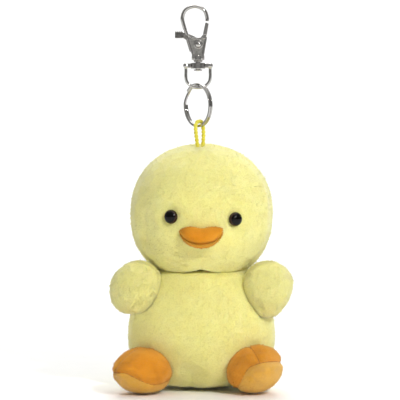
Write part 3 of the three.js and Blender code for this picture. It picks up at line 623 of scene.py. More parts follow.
# %% [markdown]
# ### Split ring
# One flat wire wound twice. Its two coils lie side by side, and the wire steps across from one to the other
# at the back, so the dark line between the coils is real.

# %% Split ring
RING_RADIUS, RING_Z, RING_TURN, RING_CROSSING = 9.6, -44.4, math.radians(-54), math.radians(160)
STEP, COIL_PITCH = 0.35, 0.97
RING_STEPS = 288
ring_line = []
for step in range(RING_STEPS + 1):
    angle = STEP + (4 * math.pi - 2 * STEP) * step / RING_STEPS
    across = min(max((angle - 2 * math.pi + STEP) / (2 * STEP), 0), 1)
    along = (across * across * (3 - 2 * across) - 0.5) * COIL_PITCH
    x, z = RING_RADIUS * math.cos(angle + RING_CROSSING), RING_RADIUS * math.sin(angle + RING_CROSSING)
    ring_line.append(Vector((x * math.cos(RING_TURN) + along * math.sin(RING_TURN),
                             x * math.sin(RING_TURN) - along * math.cos(RING_TURN), z + RING_Z)))
flat_wire = []
for corner_x, corner_y, start in [(1, 1, 0), (-1, 1, 90), (-1, -1, 180), (1, -1, 270)]:
    for part in (0, 30, 60, 90):
        turn = math.radians(start + part)
        flat_wire.append((corner_x * 0.27 + 0.15 * math.cos(turn), corner_y * 0.43 + 0.15 * math.sin(turn)))
ring_axis = Vector((math.sin(RING_TURN), -math.cos(RING_TURN), 0))
ring = tidy_normals(sweep("key_ring", ring_line, flat_wire, first=ring_axis))
dress(ring, CHROME, "ring", "bright_chrome", "split_ring")
print("hardware done")

# %% [markdown]
# ## Cord
# Two plies of yarn twisted round each other. A slice through it is a figure of eight that turns as it
# goes, so one tube with that section makes both plies and the groove between them. The route is the one
# that a short loop takes over the lowest wire of a ring with the weight of the toy on it.

# %% Cord
CORD_WIDTH, CORD_PITCH = 2.0, 3.4
PLY_REACH = CORD_WIDTH / 2
CORD_ROUTE = [
    (0.3, -1.2, -69.6), (-0.1, -1.6, -66.0), (-0.3, -1.8, -62.5), (-0.8, -1.9, -58.4), (-1.1, -2.0, -55.2),
    (-1.1, -2.0, -53.7), (-0.6, -1.7, -52.4), (0.6, -0.8, -51.7), (1.8, 0.1, -52.4), (2.3, 0.4, -53.7),
    (2.4, 0.4, -55.2), (2.5, 0.3, -58.4), (2.3, 0.1, -62.5), (2.0, -0.2, -66.0), (1.7, -0.5, -69.6),
]


def two_ply(reach_out, sides=28):
    section = []
    for t in [2 * math.pi * k / sides for k in range(sides)]:
        reach = reach_out * (0.5 + 0.5 * abs(math.cos(t)) ** 0.9)
        section.append((reach * math.cos(t), reach * math.sin(t)))
    return section


def run_of(line):
    steps = [0.0]
    for a, b in zip(line, line[1:]):
        steps.append(steps[-1] + (b - a).length)
    return steps


cord_line = smooth_line(CORD_ROUTE, 14)
cord_run = run_of(cord_line)
cord = sweep("cord", cord_line, two_ply(PLY_REACH), twist=lambda i: 2 * math.pi * cord_run[i] / CORD_PITCH)
dress(tidy_normals(cord), CORD, "plush", "yellow_cord", "hang_cord")
print("cord:", round(cord_run[-1], 1), "mm long")

KNOT_STEPS = 180
knot_line = []
for step in range(KNOT_STEPS):
    t = 2 * math.pi * step / KNOT_STEPS
    swing = 0.62 + 0.28 * math.cos(3 * t)
    knot_line.append(Vector((1 + 1.75 * swing * math.cos(2 * t), -0.8 + 1.75 * swing * math.sin(2 * t),
                             -72.7 + 0.9 * math.sin(3 * t))))
knot = sweep("knot", knot_line, oval(1.7, 1.7, 16), first=Vector((0, 0, 1)), closed=True)
dress(tidy_normals(knot), CORD, "plush", "yellow_cord", "cord_knot")

# %% [markdown]
# ## How a stuffed form is made here
# A soft toy is a bag that is too big for its seams. The fabric swells between the seams and gathers beside
# them. So each form begins as a fine ball pulled into shape, its seams are pinned, and a short cloth
# simulation with a little air pressure and slightly oversized fabric makes the swelling and the gathers.
# The simulation runs at ten times the size, because cloth settings are tuned for big things. Only the
# relief that it finds is kept, so the toy stays the size it was designed at.


# %% Forms
def oval_form(middle, half, up, down, fullness=2.0, upper_fullness=2.0):
    """Pulls a unit ball into a rounded form. Below its widest level it may be squarer than an ellipse."""
    def form(unit, grow=0.0):
        level = unit[:, 2]
        power = np.where(level < 0, fullness, upper_fullness)
        full = np.clip(1 - np.abs(level) ** power, 0, 1) ** (1 / power)
        ring = np.hypot(unit[:, 0], unit[:, 1])
        spread = np.where(ring > 1e-6, full / np.maximum(ring, 1e-6), 0)
        tall = np.where(level < 0, down, up) + grow
        x = middle[0] + unit[:, 0] * spread * (half[0] + grow)
        y = middle[1] + unit[:, 1] * spread * (half[1] + grow)
        return np.stack([x, y, middle[2] + level * tall], 1)
    return form


def soft_floor(levels, floor, softness=0.6):
    """Raises what is below the floor on to it, with a rounded edge."""
    rise = (levels - floor) / softness
    return floor + softness * np.logaddexp(0, rise)


def push_out(points, middle, half, up, down, fullness=2.0, gap=0.3):
    """Moves the points that lie inside a rounded form out on to it."""
    off = points - np.array(middle)
    tall = np.where(off[:, 2] < 0, down, up) + gap
    power = np.where(off[:, 2] < 0, fullness, 2.0)
    level = np.clip(np.abs(off[:, 2]) / tall, 0, 0.98)
    full = (1 - level ** power) ** (1 / power)
    ring = np.hypot(off[:, 0] / ((half[0] + gap) * full), off[:, 1] / ((half[1] + gap) * full))
    inside = (ring < 1) & (np.abs(off[:, 2]) < tall)
    stretch = np.where(inside, 1 / np.maximum(ring, 0.3), 1)
    moved = points.copy()
    moved[:, :2] = np.array(middle)[:2] + off[:, :2] * stretch[:, None]
    return moved


# %% Stuffing by cloth
CLOTH_SCALE = 10.0
CLOTH_FRAMES = 20
SEAM_HOLD = 1.1
SOFT_FABRIC = {
    "quality": 5, "mass": 0.3, "tension_stiffness": 12, "compression_stiffness": 12, "shear_stiffness": 5,
    "bending_stiffness": 0.6, "use_pressure": True, "vertex_group_mass": "seams",
}


def fine_ball(name, fineness):
    mesh = bmesh.new()
    bmesh.ops.create_icosphere(mesh, subdivisions=fineness, radius=1.0)
    data = bpy.data.meshes.new(name)
    mesh.to_mesh(data)
    mesh.free()
    data.polygons.foreach_set("use_smooth", [True] * len(data.polygons))
    return add_to_scene(name, data), np.array([tuple(v.co) for v in data.vertices])


def swell(piece, seam_gap, air=4.0, spare=0.05, cap=0.7):
    """Adds the relief that pressure and spare cloth make between pinned seams."""
    rest = get_points(piece)
    normals = get_normals(piece)
    pinned = piece.vertex_groups.new(name="seams")
    pinned.add([int(i) for i in np.flatnonzero(seam_gap < SEAM_HOLD)], 1.0, "REPLACE")
    piece.data.vertices.foreach_set("co", (rest * MM * CLOTH_SCALE).ravel())
    piece.data.update()
    cloth = piece.modifiers.new("cloth", "CLOTH")
    for setting, value in SOFT_FABRIC.items():
        setattr(cloth.settings, setting, value)
    cloth.settings.uniform_pressure_force = air
    cloth.settings.shrink_min = cloth.settings.shrink_max = -spare
    cloth.settings.effector_weights.gravity = 0
    cloth.point_cache.frame_start, cloth.point_cache.frame_end = 1, CLOTH_FRAMES
    for frame_number in range(1, CLOTH_FRAMES + 1):
        bpy.context.scene.frame_set(frame_number)
    apply_modifiers(piece)
    moved = get_points(piece) / CLOTH_SCALE
    bpy.context.scene.frame_set(1)
    relief = ((moved - rest) * normals).sum(1)
    relief = np.clip(relief - np.median(relief), -cap, cap)
    set_points(piece, rest + relief[:, None] * normals)
    return float(np.abs(relief).mean())


def press(piece, depth):
    """Moves every point inwards by its own depth."""
    set_points(piece, get_points(piece) - depth[:, None] * get_normals(piece))


def nap(piece, tuft=0.1, tuft_size=0.9, lie=0.14, lie_size=4.5, seed=0.0):
    """The uneven surface of short pile."""
    points = get_points(piece)
    relief = tuft * fine_noise(points, tuft_size, seed) + lie * fine_noise(points, lie_size, seed + 5)
    press(piece, -relief)


def add_tufts(piece, count, length, lift, thick, lay, seed, bare=None):
    """Sows closed, pointed tufts on a form. lay gives the way that the pile lies at each point."""
    rng = np.random.default_rng(seed)
    points, normals = get_points(piece), get_normals(piece)
    skin = piece.get("skin_points", len(points))
    piece["skin_points"] = skin
    chosen = rng.integers(0, skin, count)
    if bare is not None:
        chosen = chosen[~bare(points[chosen])]
    count = len(chosen)
    spot, out = points[chosen] + rng.normal(0, 0.15, (count, 3)), normals[chosen]
    flow = lay(spot) + rng.normal(0, 0.45, (count, 3))
    flow -= (flow * out).sum(1)[:, None] * out
    flow /= np.maximum(np.linalg.norm(flow, axis=1), 1e-6)[:, None]
    side = np.cross(out, flow)
    size = rng.uniform(0.6, 1.25, count)[:, None]
    foot = spot - 0.15 * out
    tip = spot + flow * length * size + out * lift * size
    left, right, back = foot + side * thick / 2, foot - side * thick / 2, foot + out * thick + 0.3 * flow
    corners = np.stack([left, right, back, tip], 1)
    index = len(points) + 4 * np.arange(count)[:, None]
    pattern = np.array([[0, 1, 2], [0, 3, 1], [1, 3, 2], [2, 3, 0]])
    triangles = (index[:, :, None] + pattern[None]).reshape(-1, 3)
    old_faces = np.empty(len(piece.data.loops), int)
    piece.data.loops.foreach_get("vertex_index", old_faces)
    old_starts = np.empty(len(piece.data.polygons), int)
    piece.data.polygons.foreach_get("loop_start", old_starts)
    name, old = piece.data.name, piece.data
    mesh = bpy.data.meshes.new(name + "_pile")
    total = np.concatenate([points, corners.reshape(-1, 3)]) * MM
    mesh.vertices.add(len(total))
    mesh.vertices.foreach_set("co", total.ravel())
    mesh.loops.add(len(old_faces) + 3 * len(triangles))
    mesh.loops.foreach_set("vertex_index", np.concatenate([old_faces, triangles.ravel()]))
    starts = np.concatenate([old_starts, len(old_faces) + 3 * np.arange(len(triangles))])
    mesh.polygons.add(len(starts))
    mesh.polygons.foreach_set("loop_start", starts)
    mesh.update(calc_edges=True)
    mesh.polygons.foreach_set("use_smooth", [True] * len(starts))
    piece.data = mesh
    bpy.data.meshes.remove(old)
    mesh.validate()
    print(f"{piece.name}: {count} tufts")


def stuffed(name, form, fineness, seams, groove=0.6, width=0.9, spare=0.05, cap=0.6, shape=None):
    """A whole stuffed form: ball, shape, cloth, finer mesh and seam grooves."""
    piece, unit = fine_ball(name, fineness)
    set_points(piece, form(unit))
    note = "no cloth"
    seam_gap = seams(get_points(piece))
    note = f"relief {swell(piece, seam_gap, spare=spare, cap=cap):.2f} mm"
    subdivide(piece)
    seam_gap = seams(get_points(piece))
    press(piece, groove * np.exp(-(seam_gap / width) ** 2))
    if shape:
        press(piece, shape(get_points(piece)))
    print(f"{name}: {len(piece.data.vertices)} points, {note}")
    return piece


def wad(name, form, shrink, material, body, slot, node, fineness=4, lumps=0.5, seed=3.0):
    """A loose lump of filling that follows the form around it."""
    piece, unit = fine_ball(name, fineness)
    set_points(piece, form(unit, -shrink))
    press(piece, lumps * (0.6 + fine_noise(get_points(piece), 5.0, seed)))
    nap(piece, 0.12, 1.2, 0, 5, seed)
    return dress(piece, material, body, slot, node)


# %% [markdown]
# ## Head
# Three panels: two for the face, which meet under the chin, and one for the back. The two eyes are pulled
# in from behind by their washers, so the pile closes in around them.

# %% Head
HEAD, HEAD_HALF, HEAD_UP, HEAD_DOWN = (1.6, 0.5, -95.1), (33.0, 28.5), 32.7, 31.5
NECK_Z = -119.6
FACE_ROLL = math.radians(2.2)
BEAK_LEVEL = -7.7
EYE_RADIUS, EYE_SPACING, EYE_LEVEL, EYE_OFFSET = 3.2, 28.7, 0.8, 0.7


def on_head(x, z):
    """A point on the front of the head and the way that the surface faces there."""
    across = x * math.cos(FACE_ROLL) + z * math.sin(FACE_ROLL)
    level = z * math.cos(FACE_ROLL) - x * math.sin(FACE_ROLL)
    a, b, c = HEAD_HALF[0], HEAD_HALF[1], HEAD_DOWN if level < 0 else HEAD_UP
    y = -b * math.sqrt(1 - (across / a) ** 2 - (level / c) ** 2)
    facing = Vector((across / a ** 2, y / b ** 2, level / c ** 2)).normalized()
    return Vector((across, y, level)) + Vector(HEAD), facing


EYES = {"left": on_head(EYE_OFFSET + EYE_SPACING / 2, EYE_LEVEL),
        "right": on_head(EYE_OFFSET - EYE_SPACING / 2, EYE_LEVEL)}
plain_head = oval_form(HEAD, HEAD_HALF, HEAD_UP, HEAD_DOWN, 2.12, 2.18)


def head_form(unit, grow=0.0):
    points = plain_head(unit, grow + 0.2)
    chin = np.exp(-((points[:, 0] - 1.2) / 5.0) ** 2) * (points[:, 1] < 0)
    points[:, 2] = soft_floor(points[:, 2], NECK_Z - 1.6 + 1.9 * chin - grow, 0.7)
    return points


def head_seams(points):
    """How far each point lies from the nearest seam of the head."""
    x, y, z = (points - np.array(HEAD)).T
    side_seam = np.abs(y + 3.5 + 0.012 * (z + 4) ** 2 * (z < -4))
    chin_seam = np.where((y < 0) & (z < -16.5), np.abs(x + 0.4), 99)
    dart = np.hypot(x + 25.4 + 0.008 * (z + 8) ** 2, np.where(y < 0, 0, 99))
    dart = np.where((z < 3) & (z > -16), dart, 99)
    return np.minimum(np.minimum(side_seam, chin_seam), dart)


def face_dents(points):
    """Depth of the eye sockets, the tuck under the beak and the tuck round the cord, less the cheeks."""
    depth = np.zeros(len(points))
    for spot, facing in EYES.values():
        near = np.linalg.norm(points - np.array(spot), axis=1)
        depth += 1.5 * np.exp(-(near / 4.2) ** 2) - 0.35 * np.exp(-((near - 8) / 3) ** 2)
    below_beak = np.array([HEAD[0] - 0.4, -24.5, -112.5])
    depth += 0.3 * np.exp(-(np.linalg.norm(points - below_beak, axis=1) / 4.0) ** 2)
    for side in (-1, 1):
        cheek = np.array([HEAD[0] + side * 14, -22.0, -107.0])
        depth -= 0.6 * np.exp(-(np.linalg.norm(points - cheek, axis=1) / 8) ** 2)
    crown = np.array([1.0, -0.8, -62.6])
    return depth + 0.9 * np.exp(-(np.linalg.norm(points - crown, axis=1) / 3.0) ** 2)


head = stuffed("head", head_form, 5, head_seams, groove=0.4, shape=face_dents)
nap(head, seed=1.0)


def head_lay(points):
    """The pile runs away from the nose and down."""
    away = points - np.array([HEAD[0], HEAD[1] - 28, HEAD[2] - 6])
    away /= np.maximum(np.linalg.norm(away, axis=1), 1e-6)[:, None]
    return away + np.array([0, 0, -0.6])


def bare_face(points):
    """No tufts are sown close round the eyes or under the beak."""
    gaps = [np.linalg.norm(points - np.array(spot), axis=1) for spot, facing in EYES.values()]
    beak_middle = np.array(on_head(1.4, BEAK_LEVEL)[0])
    off = (points - beak_middle) / np.array([9.6, 9, 4.6])
    return (np.minimum(*gaps) < 3.8) | (np.linalg.norm(off, axis=1) < 1)


add_tufts(head, 15000, 1.4, 0.28, 0.12, head_lay, seed=101, bare=bare_face)
add_tufts(head, 3500, 0.8, 0.9, 0.06, head_lay, seed=111, bare=bare_face)
dress(head, YELLOW, "plush", "yellow_plush", "face_panel_left", "face_panel_right", "head_back_panel")
wad("head_filling", head_form, 2.4, POLYFILL, "plush", "polyfill", "head_stuffing")

# %% [markdown]
# ### Eyes
# Safety eyes: a glossy dome on a shank, locked by a plastic washer inside. The rim is a very dark brown
# round a nearly black middle.

# %% Eyes
def onto_face(piece, place):
    spot, facing = place
    turn = Vector((0, 0, 1)).rotation_difference(facing).to_matrix()
    set_points(piece, np.array([tuple(turn @ Vector(p) + spot) for p in get_points(piece)]))
    return piece


EYE_EDGE, EYE_CROWN, RIM_REACH = 0.45, 2.3, 2.45
eye_profile = [(0, -8.0), (1.05, -7.95), (1.1, 0.1), (2.9, 0.1), (3.12, 0.2), (EYE_RADIUS, EYE_EDGE)]
for step in range(1, 12):
    turn = math.pi / 2 * step / 12
    eye_profile.append((EYE_RADIUS * math.cos(turn), EYE_EDGE + EYE_CROWN * math.sin(turn)))
eye_profile.append((0, EYE_EDGE + EYE_CROWN))
washer_profile = [(1.35, -3.05), (3.7, -3.05), (3.9, -2.85), (3.9, -2.1), (3.7, -1.92), (1.35, -1.92)]
for side, place in EYES.items():
    eye = tidy_normals(turned(f"{side}_eye_dome", eye_profile, 48))
    eye.data.materials.append(PUPIL)
    eye.data.materials.append(IRIS)
    for face in eye.data.polygons:
        reach = math.hypot(face.center.x, face.center.y) / MM
        face.material_index = 1 if reach > RIM_REACH and face.center.z > 0 else 0
    dress(onto_face(eye, place), PUPIL, "plush", "eye_gloss", f"{side}_eye")
    washer = shade_by_angle(tidy_normals(turned(f"{side}_lock_washer", washer_profile, 36)))
    dress(onto_face(washer, place), WASHER, "plush", "washer_plastic", f"{side}_eye_washer")

# %% [markdown]
# ## Torso
# A pear that sits flat. It has a front and a back panel, and its middle is drawn in a little where the
# front panel is shaped with a tuck. Pellets in a pouch weigh down the seat.

# %% Torso
TORSO, TORSO_HALF = (1.6, 2.0, -149.6), (34.5, 27.0)
TORSO_UP, TORSO_DOWN, TORSO_FULLNESS = 36.0, 27.0, 2.5
SEAT_Z = -174.6
plain_torso = oval_form(TORSO, TORSO_HALF, TORSO_UP, TORSO_DOWN, TORSO_FULLNESS)


def torso_form(unit, grow=0.0):
    points = plain_torso(unit, grow + 0.1)
    points[:, 2] = soft_floor(points[:, 2], SEAT_Z + 0.2 - grow, 1.0)
    share = np.exp(-((points[:, 2] - NECK_Z) / 5.0) ** 2)
    middle = np.array([TORSO[0], TORSO[1] - 1.5])
    points[:, :2] = middle + (points[:, :2] - middle) * (1 + 0.2 * share[:, None])
    points[:, 2] = -soft_floor(-points[:, 2], -(NECK_Z + 0.9 + grow), 0.8)
    return points


def torso_seams(points):
    x, y, z = (points - np.array(TORSO)).T
    side_seam = np.abs(y - 0.02 * x)
    tuck = np.where((y < 0) & (z < -14.5) & (z > -23), np.abs(x + 5 + 0.12 * (z + 18)), 99)
    return np.minimum(side_seam, tuck)


def torso_dents(points):
    x, y, z = (points - np.array(TORSO)).T
    tuck = 0.9 * np.exp(-((x + 4.8) / 3.2) ** 2) * np.exp(-((z + 19) / 5.5) ** 2) * (y < 0)
    belly = -0.5 * np.exp(-(x / 18) ** 2) * np.exp(-((z + 2) / 14) ** 2) * (y < 0)
    return tuck + belly


torso = stuffed(
    "torso", torso_form, 5, torso_seams, groove=0.5, width=0.8, spare=0.06, cap=0.7, shape=torso_dents,
)
nap(torso, seed=2.0)


def downward(points):
    return np.array([0, 0, -1.0]) + 0 * points


add_tufts(torso, 15000, 1.4, 0.28, 0.12, downward, seed=102)
add_tufts(torso, 3500, 0.8, 0.8, 0.06, downward, seed=112)
dress(torso, YELLOW, "plush", "yellow_plush", "torso_front_panel", "torso_back_panel")


POUCH, POUCH_HALF, POUCH_TALL, TAIL, TAIL_HALF, TAIL_TALL = (
    (1.6, 5.0, -166.6), (18.6, 14.6), 6.1, (1.6, 28.0, -159.6), (7.4, 7.4), 5.9,
)
FILL_OVER_POUCH, FILL_FLOOR, HOLLOW_RADIUS = -159.5, -172.5, 20


def torso_fill_form(unit, grow=0.0):
    """The filling of the torso, with a hollow over the seat for the pouch."""
    points = torso_form(unit, grow)
    over_pouch = np.hypot(points[:, 0] - POUCH[0], points[:, 1] - POUCH[1]) < HOLLOW_RADIUS
    points[:, 2] = np.maximum(points[:, 2], np.where(over_pouch, FILL_OVER_POUCH, FILL_FLOOR))
    return points


wad("torso_filling", torso_fill_form, 2.4, POLYFILL, "plush", "polyfill", "torso_stuffing", seed=7.0)
pouch_form = oval_form(POUCH, POUCH_HALF, POUCH_TALL, POUCH_TALL)
wad("pellets", pouch_form, 0.3, POUCH_CLOTH, "plush", "pouch_cloth", "pellet_pouch", lumps=0.25)

tail_form = oval_form(TAIL, TAIL_HALF, TAIL_TALL, TAIL_TALL)


def placed_tail(unit, grow=0.0):
    points = tail_form(unit, grow)
    points[:, 2] += 0.04 * np.maximum(points[:, 1] - TAIL[1], 0) ** 2
    return push_out(points, TORSO, TORSO_HALF, TORSO_UP, TORSO_DOWN, TORSO_FULLNESS, -0.3)


def tail_seam(points):
    return np.abs(points[:, 2] - TAIL[2])


tail = stuffed("tail_tuft", placed_tail, 4, tail_seam, groove=0.4, width=0.6, cap=0.3)
nap(tail, seed=4.0)
add_tufts(tail, 2500, 1.3, 0.3, 0.13, downward, seed=103)
dress(tail, YELLOW, "plush", "yellow_plush", "tail")

# %% [markdown]
# ## Wings
# Small mitts of two panels each, sewn on at the shoulder. They are fuller at the top than at the tip. The
# two sides were stuffed by hand and don't match, so each has its own taper and lean.

# %% Wings
WING_HALF, WING_TALL = (12.3, 10.0), 12.5
WINGS = {
    "left": {"middle": (31.5, -11.5, -127.1), "taper": 0.26, "lean": 0.04, "tall": 1.16, "bend": 6.5},
    "right": {"middle": (-28.3, -11.5, -127.1), "taper": 0.12, "lean": 0.10, "tall": 1.0, "bend": -6.0},
}
for seed, (side, plan) in enumerate(WINGS.items()):
    middle = plan["middle"]
    plain_wing = oval_form(middle, WING_HALF, WING_TALL, WING_TALL, 2.7)

    def wing_form(unit, grow=0.0, plan=plan, middle=middle, plain_wing=plain_wing):
        points = plain_wing(unit, grow - 0.15)
        off = points - np.array(middle)
        drop_share = np.clip(-off[:, 2] / WING_TALL, -1, 1)
        narrow = 1 - plan["taper"] * np.clip(drop_share + 0.2, 0, 1) ** 1.5
        off[:, 0] = off[:, 0] * narrow + plan["lean"] * off[:, 2] * (np.abs(drop_share) < 1)
        off[:, 1] *= narrow
        off[:, 2] = np.where(off[:, 2] < 0, plan["tall"], 1.0) * off[:, 2]
        points = off + np.array(middle)
        points = push_out(points, TORSO, TORSO_HALF, TORSO_UP, TORSO_DOWN, TORSO_FULLNESS, 0.1 - grow)
        return push_out(points, HEAD, HEAD_HALF, HEAD_UP, HEAD_DOWN, 2.0, 0.5 - grow)

    def wing_seams(points, plan=plan, middle=middle):
        off = points - np.array(middle)
        return np.abs(off[:, 1] - plan["bend"] * (off[:, 0] / 12) * 0.4 + 0.03 * off[:, 2] ** 2 * 0.2)

    wing = stuffed(f"{side}_mitt", wing_form, 4, wing_seams, groove=0.5, width=0.7, spare=0.06, cap=0.45)
    subdivide(wing)
    nap(wing, 0.09, 0.9, 0.12, 3.5, seed=11.0 + seed)
    add_tufts(wing, 5000, 1.2, 0.26, 0.12, downward, seed=104 + seed)
    add_tufts(wing, 1500, 0.7, 0.7, 0.06, downward, seed=114 + seed)
    dress(wing, YELLOW, f"{side}_wing", "yellow_plush", f"{side}_wing_front", f"{side}_wing_back")
    filling = f"{side}_wing_filling"
    wad(filling, wing_form, 1.9, POLYFILL, f"{side}_wing", "polyfill", f"{side}_wing_stuffing")

# %% [markdown]
# ## Feet
# Three panels, two for the top and one paler sole, meet at the toe. Each foot is turned out and tipped its
# own way, so one shows its side and the other its sole.

# %% Feet
FOOT_HALF, FOOT_POINT, SOLE_DROP, FOOT_LEVEL, THREAD_WIDTH = (13.0, 15.5, 11.0), 0.42, 0.8, 15.4, 0.13
FEET = {
    "left": dict(sign=1, out=24.2, forward=23.5, toe_out=12, toe_up=20, lean=14, rise=1.8),
    "right": dict(sign=-1, out=27.4, forward=22.5, toe_out=52, toe_up=4, lean=-4, rise=0.6),
}


def foot_pose(plan):
    sign = plan["sign"]
    turn = (Matrix.Rotation(math.radians(sign * plan["toe_out"]), 3, "Z")
            @ Matrix.Rotation(math.radians(-sign * plan["lean"]), 3, "Y")
            @ Matrix.Rotation(math.radians(-plan["toe_up"]), 3, "X"))
    spot = (TORSO[0] + sign * plan["out"], TORSO[1] - plan["forward"], TORSO[2] - FOOT_LEVEL + plan["rise"])
    return np.array(turn), np.array(spot)


for seed, (side, plan) in enumerate(FEET.items()):
    turn, spot = foot_pose(plan)

    def foot_form(unit, grow=0.0, turn=turn, spot=spot):
        toward = np.clip(-unit[:, 1], 0, 1)
        narrow = 1 - FOOT_POINT * toward ** 1.7
        wide, deep, tall = (half + grow - 0.15 for half in FOOT_HALF)
        own = np.stack([unit[:, 0] * narrow * wide, unit[:, 1] * deep, unit[:, 2] * narrow * tall], 1)
        points = own @ turn.T + spot
        points = push_out(points, TORSO, TORSO_HALF, TORSO_UP, TORSO_DOWN, TORSO_FULLNESS, 0.35 - grow)
        points[:, 2] = soft_floor(points[:, 2], SEAT_Z + 0.4 - grow, 0.6)
        return points

    def own_place(points, turn=turn, spot=spot):
        return (points - spot) @ turn

    def above_sole(own, sign=plan["sign"]):
        """Height above the sole seam, which runs down the inner side of the foot."""
        inner = np.clip(-sign * own[:, 0] / FOOT_HALF[0] - 0.3, 0, 1)
        return own[:, 2] + SOLE_DROP + 17.0 * inner ** 1.5

    def foot_seams(points, own_place=own_place, above_sole=above_sole):
        own = own_place(points)
        level = above_sole(own)
        top = np.where((level > 0) & (own[:, 1] < 3), np.abs(own[:, 0]), 99)
        return np.minimum(np.abs(level), top)

    foot = stuffed(f"{side}_shoe", foot_form, 4, foot_seams, groove=0.5, width=0.7, spare=0.06, cap=0.4)
    subdivide(foot)
    nap(foot, 0.05, 0.7, 0.08, 3.0, seed=21.0 + seed)
    add_tufts(foot, 9000, 0.55, 0.3, 0.11, downward, seed=107 + seed)
    foot.data.materials.append(ORANGE)
    foot.data.materials.append(SOLE)
    foot.data.materials.append(DARK_THREAD)
    centres = read_all(foot.data.polygons, "center") / MM
    part_index = (above_sole(own_place(centres)) < 0).astype(int)
    part_index[foot_seams(centres) < THREAD_WIDTH] = 2
    foot.data.polygons.foreach_set("material_index", part_index)
    dress(foot, ORANGE, f"{side}_foot", "orange_plush", f"{side}_foot_upper", f"{side}_foot_sole")
    filling = f"{side}_foot_filling"
    wad(filling, foot_form, 1.9, POLYFILL, f"{side}_foot", "polyfill", f"{side}_foot_stuffing")

# %% [markdown]
# ## Beak
# An upper and a lower piece of felt over one wad. The upper one dips a little in the middle, and the mouth
# is a slightly wavy seam close to the bottom edge.

# %% Beak
BEAK, BEAK_DEPTH = np.array(on_head(0, BEAK_LEVEL)[0]), 8.4
BEAK_MIDDLE, BEAK_REACH = 1.45, 9.8


def beak_share(x):
    """How far across the beak a point lies, from -1 to 1. The beak sits a little to one side."""
    return np.clip((x - BEAK_MIDDLE) / BEAK_REACH, -1, 1)


def mouth_level(x):
    """The mouth seam keeps close to the bottom edge, with a slight wave from hand sewing."""
    bulge = np.sqrt(np.clip(1 - beak_share(x) ** 2, 0, 1))
    return BEAK[2] + 3.0 - 5.9 * bulge + 0.2 * np.sin(x * 2.3) * bulge


def beak_form(unit, grow=0.0):
    """A half moon: nearly straight above with a dip in the middle, and round below."""
    u = unit[:, 0]
    bulge = np.sqrt(np.clip(1 - u ** 2, 1e-6, 1))
    upright = np.clip(unit[:, 2] / bulge, -1, 1)
    top = 4.7 - 0.6 * np.exp(-(u / 0.33) ** 2) - (1.9 - 0.9 * (u > 0)) * np.abs(u) ** 5
    bottom = 3.1 - 8.0 * bulge
    x = BEAK_MIDDLE + u * (BEAK_REACH + grow)
    z = BEAK[2] + (top + bottom) / 2 + upright * np.maximum((top - bottom) / 2 + grow, 0.05)
    points = np.stack([x, BEAK[1] + unit[:, 1] * (BEAK_DEPTH + grow), z], 1)
    return push_out(points, HEAD, HEAD_HALF, HEAD_UP, HEAD_DOWN, 2.0, -0.8)


def upper_form(unit, grow=0.0):
    points = beak_form(unit, grow)
    points[:, 2] = soft_floor(points[:, 2], mouth_level(points[:, 0]) + 0.05, 0.12)
    return points


def lower_form(unit, grow=0.0):
    points = beak_form(unit, grow)
    points[:, 2] = -soft_floor(-points[:, 2], -(mouth_level(points[:, 0]) - 0.05), 0.12)
    points[:, 1] += 0.7 * np.exp(-((points[:, 2] - mouth_level(points[:, 0])) / 3) ** 2)
    return points


def mouth_gap(points):
    return np.abs(points[:, 2] - mouth_level(points[:, 0]))


upper = stuffed("beak_top", upper_form, 4, mouth_gap, groove=0.16, width=0.4, spare=0.03, cap=0.25)
lower = stuffed("beak_bottom", lower_form, 4, mouth_gap, groove=0.14, width=0.4, spare=0.03, cap=0.2)
for piece, node in ((upper, "upper_beak"), (lower, "lower_beak")):
    nap(piece, 0.05, 0.7, 0.06, 2.5, seed=31.0)
    add_tufts(piece, 3500, 0.5, 0.28, 0.1, downward, seed=109)
    dress(piece, BEAK_FELT, "plush", "orange_beak", node)
wad("beak_filling", beak_form, 1.9, POLYFILL, "plush", "polyfill", "beak_stuffing", lumps=0.2)

# %% [markdown]
# ## Floor and light
# Pale pile shows its form best under soft light. The world is a pale studio with darker sides and a dimmer
# front, which gives chrome its dark edges and a round head its slow shade. A small key light from the upper
# right adds the direction, a large panel fills from above, and a third one washes the floor white.

# %% Floor and light
PAPER_FRONT, PAPER_BEND, PAPER_CURVE, PAPER_TOP, PAPER_HALF_WIDTH = -1500, 900, 500, 3000, 3000
floor_low = low.z / MM - 0.5
quarter = [math.pi / 2 * k / 12 for k in range(1, 13)]
sweep_up = [(PAPER_FRONT, 0), (PAPER_BEND, 0)]
for t in quarter:
    sweep_up.append((PAPER_BEND + PAPER_CURVE * math.sin(t), PAPER_CURVE - PAPER_CURVE * math.cos(t)))
sweep_up.append((PAPER_BEND + PAPER_CURVE, PAPER_TOP))
across = (-PAPER_HALF_WIDTH, PAPER_HALF_WIDTH)
floor_points = [(x, y, floor_low + rise) for y, rise in sweep_up for x in across]
floor_faces = [(2 * k, 2 * k + 1, 2 * k + 3, 2 * k + 2) for k in range(len(sweep_up) - 1)]
floor = new_piece("floor", floor_points, floor_faces)
paper, nodes, links, shader, place = start_finish("paper")
grain = add_noise(nodes, links, place, 60)
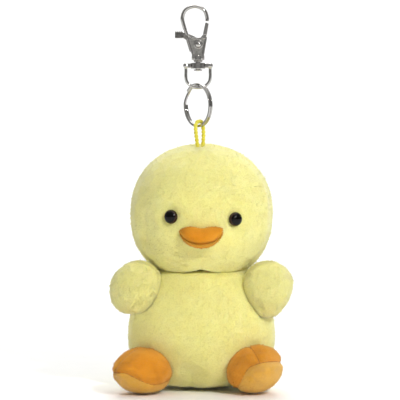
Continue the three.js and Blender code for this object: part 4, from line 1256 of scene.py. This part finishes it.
pale = add_ramp(nodes, links, grain, [(0.3, (0.93, 0.93, 0.93)), (0.7, (0.95, 0.95, 0.95))])
links.new(pale, shader.inputs["Base Color"])
set_inputs(shader, {"Roughness": 0.9})
floor.data.materials.append(paper)

world = bpy.data.worlds.new("studio")
world.use_nodes = True
bpy.context.scene.world = world
nodes, links = world.node_tree.nodes, world.node_tree.links
way = nodes.new("ShaderNodeTexCoord")
parts = nodes.new("ShaderNodeSeparateXYZ")
links.new(way.outputs["Generated"], parts.inputs["Vector"])


def shade_by(axis, start, end, low_value, high_value):
    """A soft step in the studio's brightness along one direction."""
    step = nodes.new("ShaderNodeMapRange")
    step.interpolation_type = "SMOOTHSTEP"
    set_inputs(step, {"From Min": start, "From Max": end, "To Min": low_value, "To Max": high_value})
    links.new(parts.outputs[axis], step.inputs["Value"])
    return step.outputs["Result"]


def times(first, second):
    product = nodes.new("ShaderNodeMath")
    product.operation = "MULTIPLY"
    links.new(first, product.inputs[0])
    links.new(second, product.inputs[1])
    return product.outputs["Value"]


dim_left = shade_by("X", -0.95, 0.05, 0.72, 1.06)
dim_front = shade_by("Y", -0.7, 0.15, 0.36, 1.0)
flag_right = shade_by("X", 0.5, 0.72, 1.0, 0.36)
flag_left = shade_by("X", -0.72, -0.5, 0.55, 1.0)
bright_top = shade_by("Z", 0.15, 0.8, 1.0, 0.95)
softened = times(times(dim_left, dim_front), times(flag_left, flag_right))
links.new(times(softened, bright_top), nodes["Background"].inputs["Strength"])
set_inputs(nodes["Background"], {"Color": (1, 1, 1, 1)})


def panel(name, spot, size, power):
    light = bpy.data.lights.new(name, "AREA")
    light.shape = "DISK"
    light.size = size
    light.energy = power
    lamp = add_to_scene(name, light)
    lamp.location = spot
    lamp.rotation_euler = (aim - Vector(spot)).to_track_quat("-Z", "Y").to_euler()


panel("key", (0.45, -0.85, 0.45), 0.11, 6.0)
panel("soft_front", (0.7, -0.95, 1.6), 1.4, 3.6)
panel("floor_wash", (0.0, 0.9, 1.2), 1.2, 15.0)
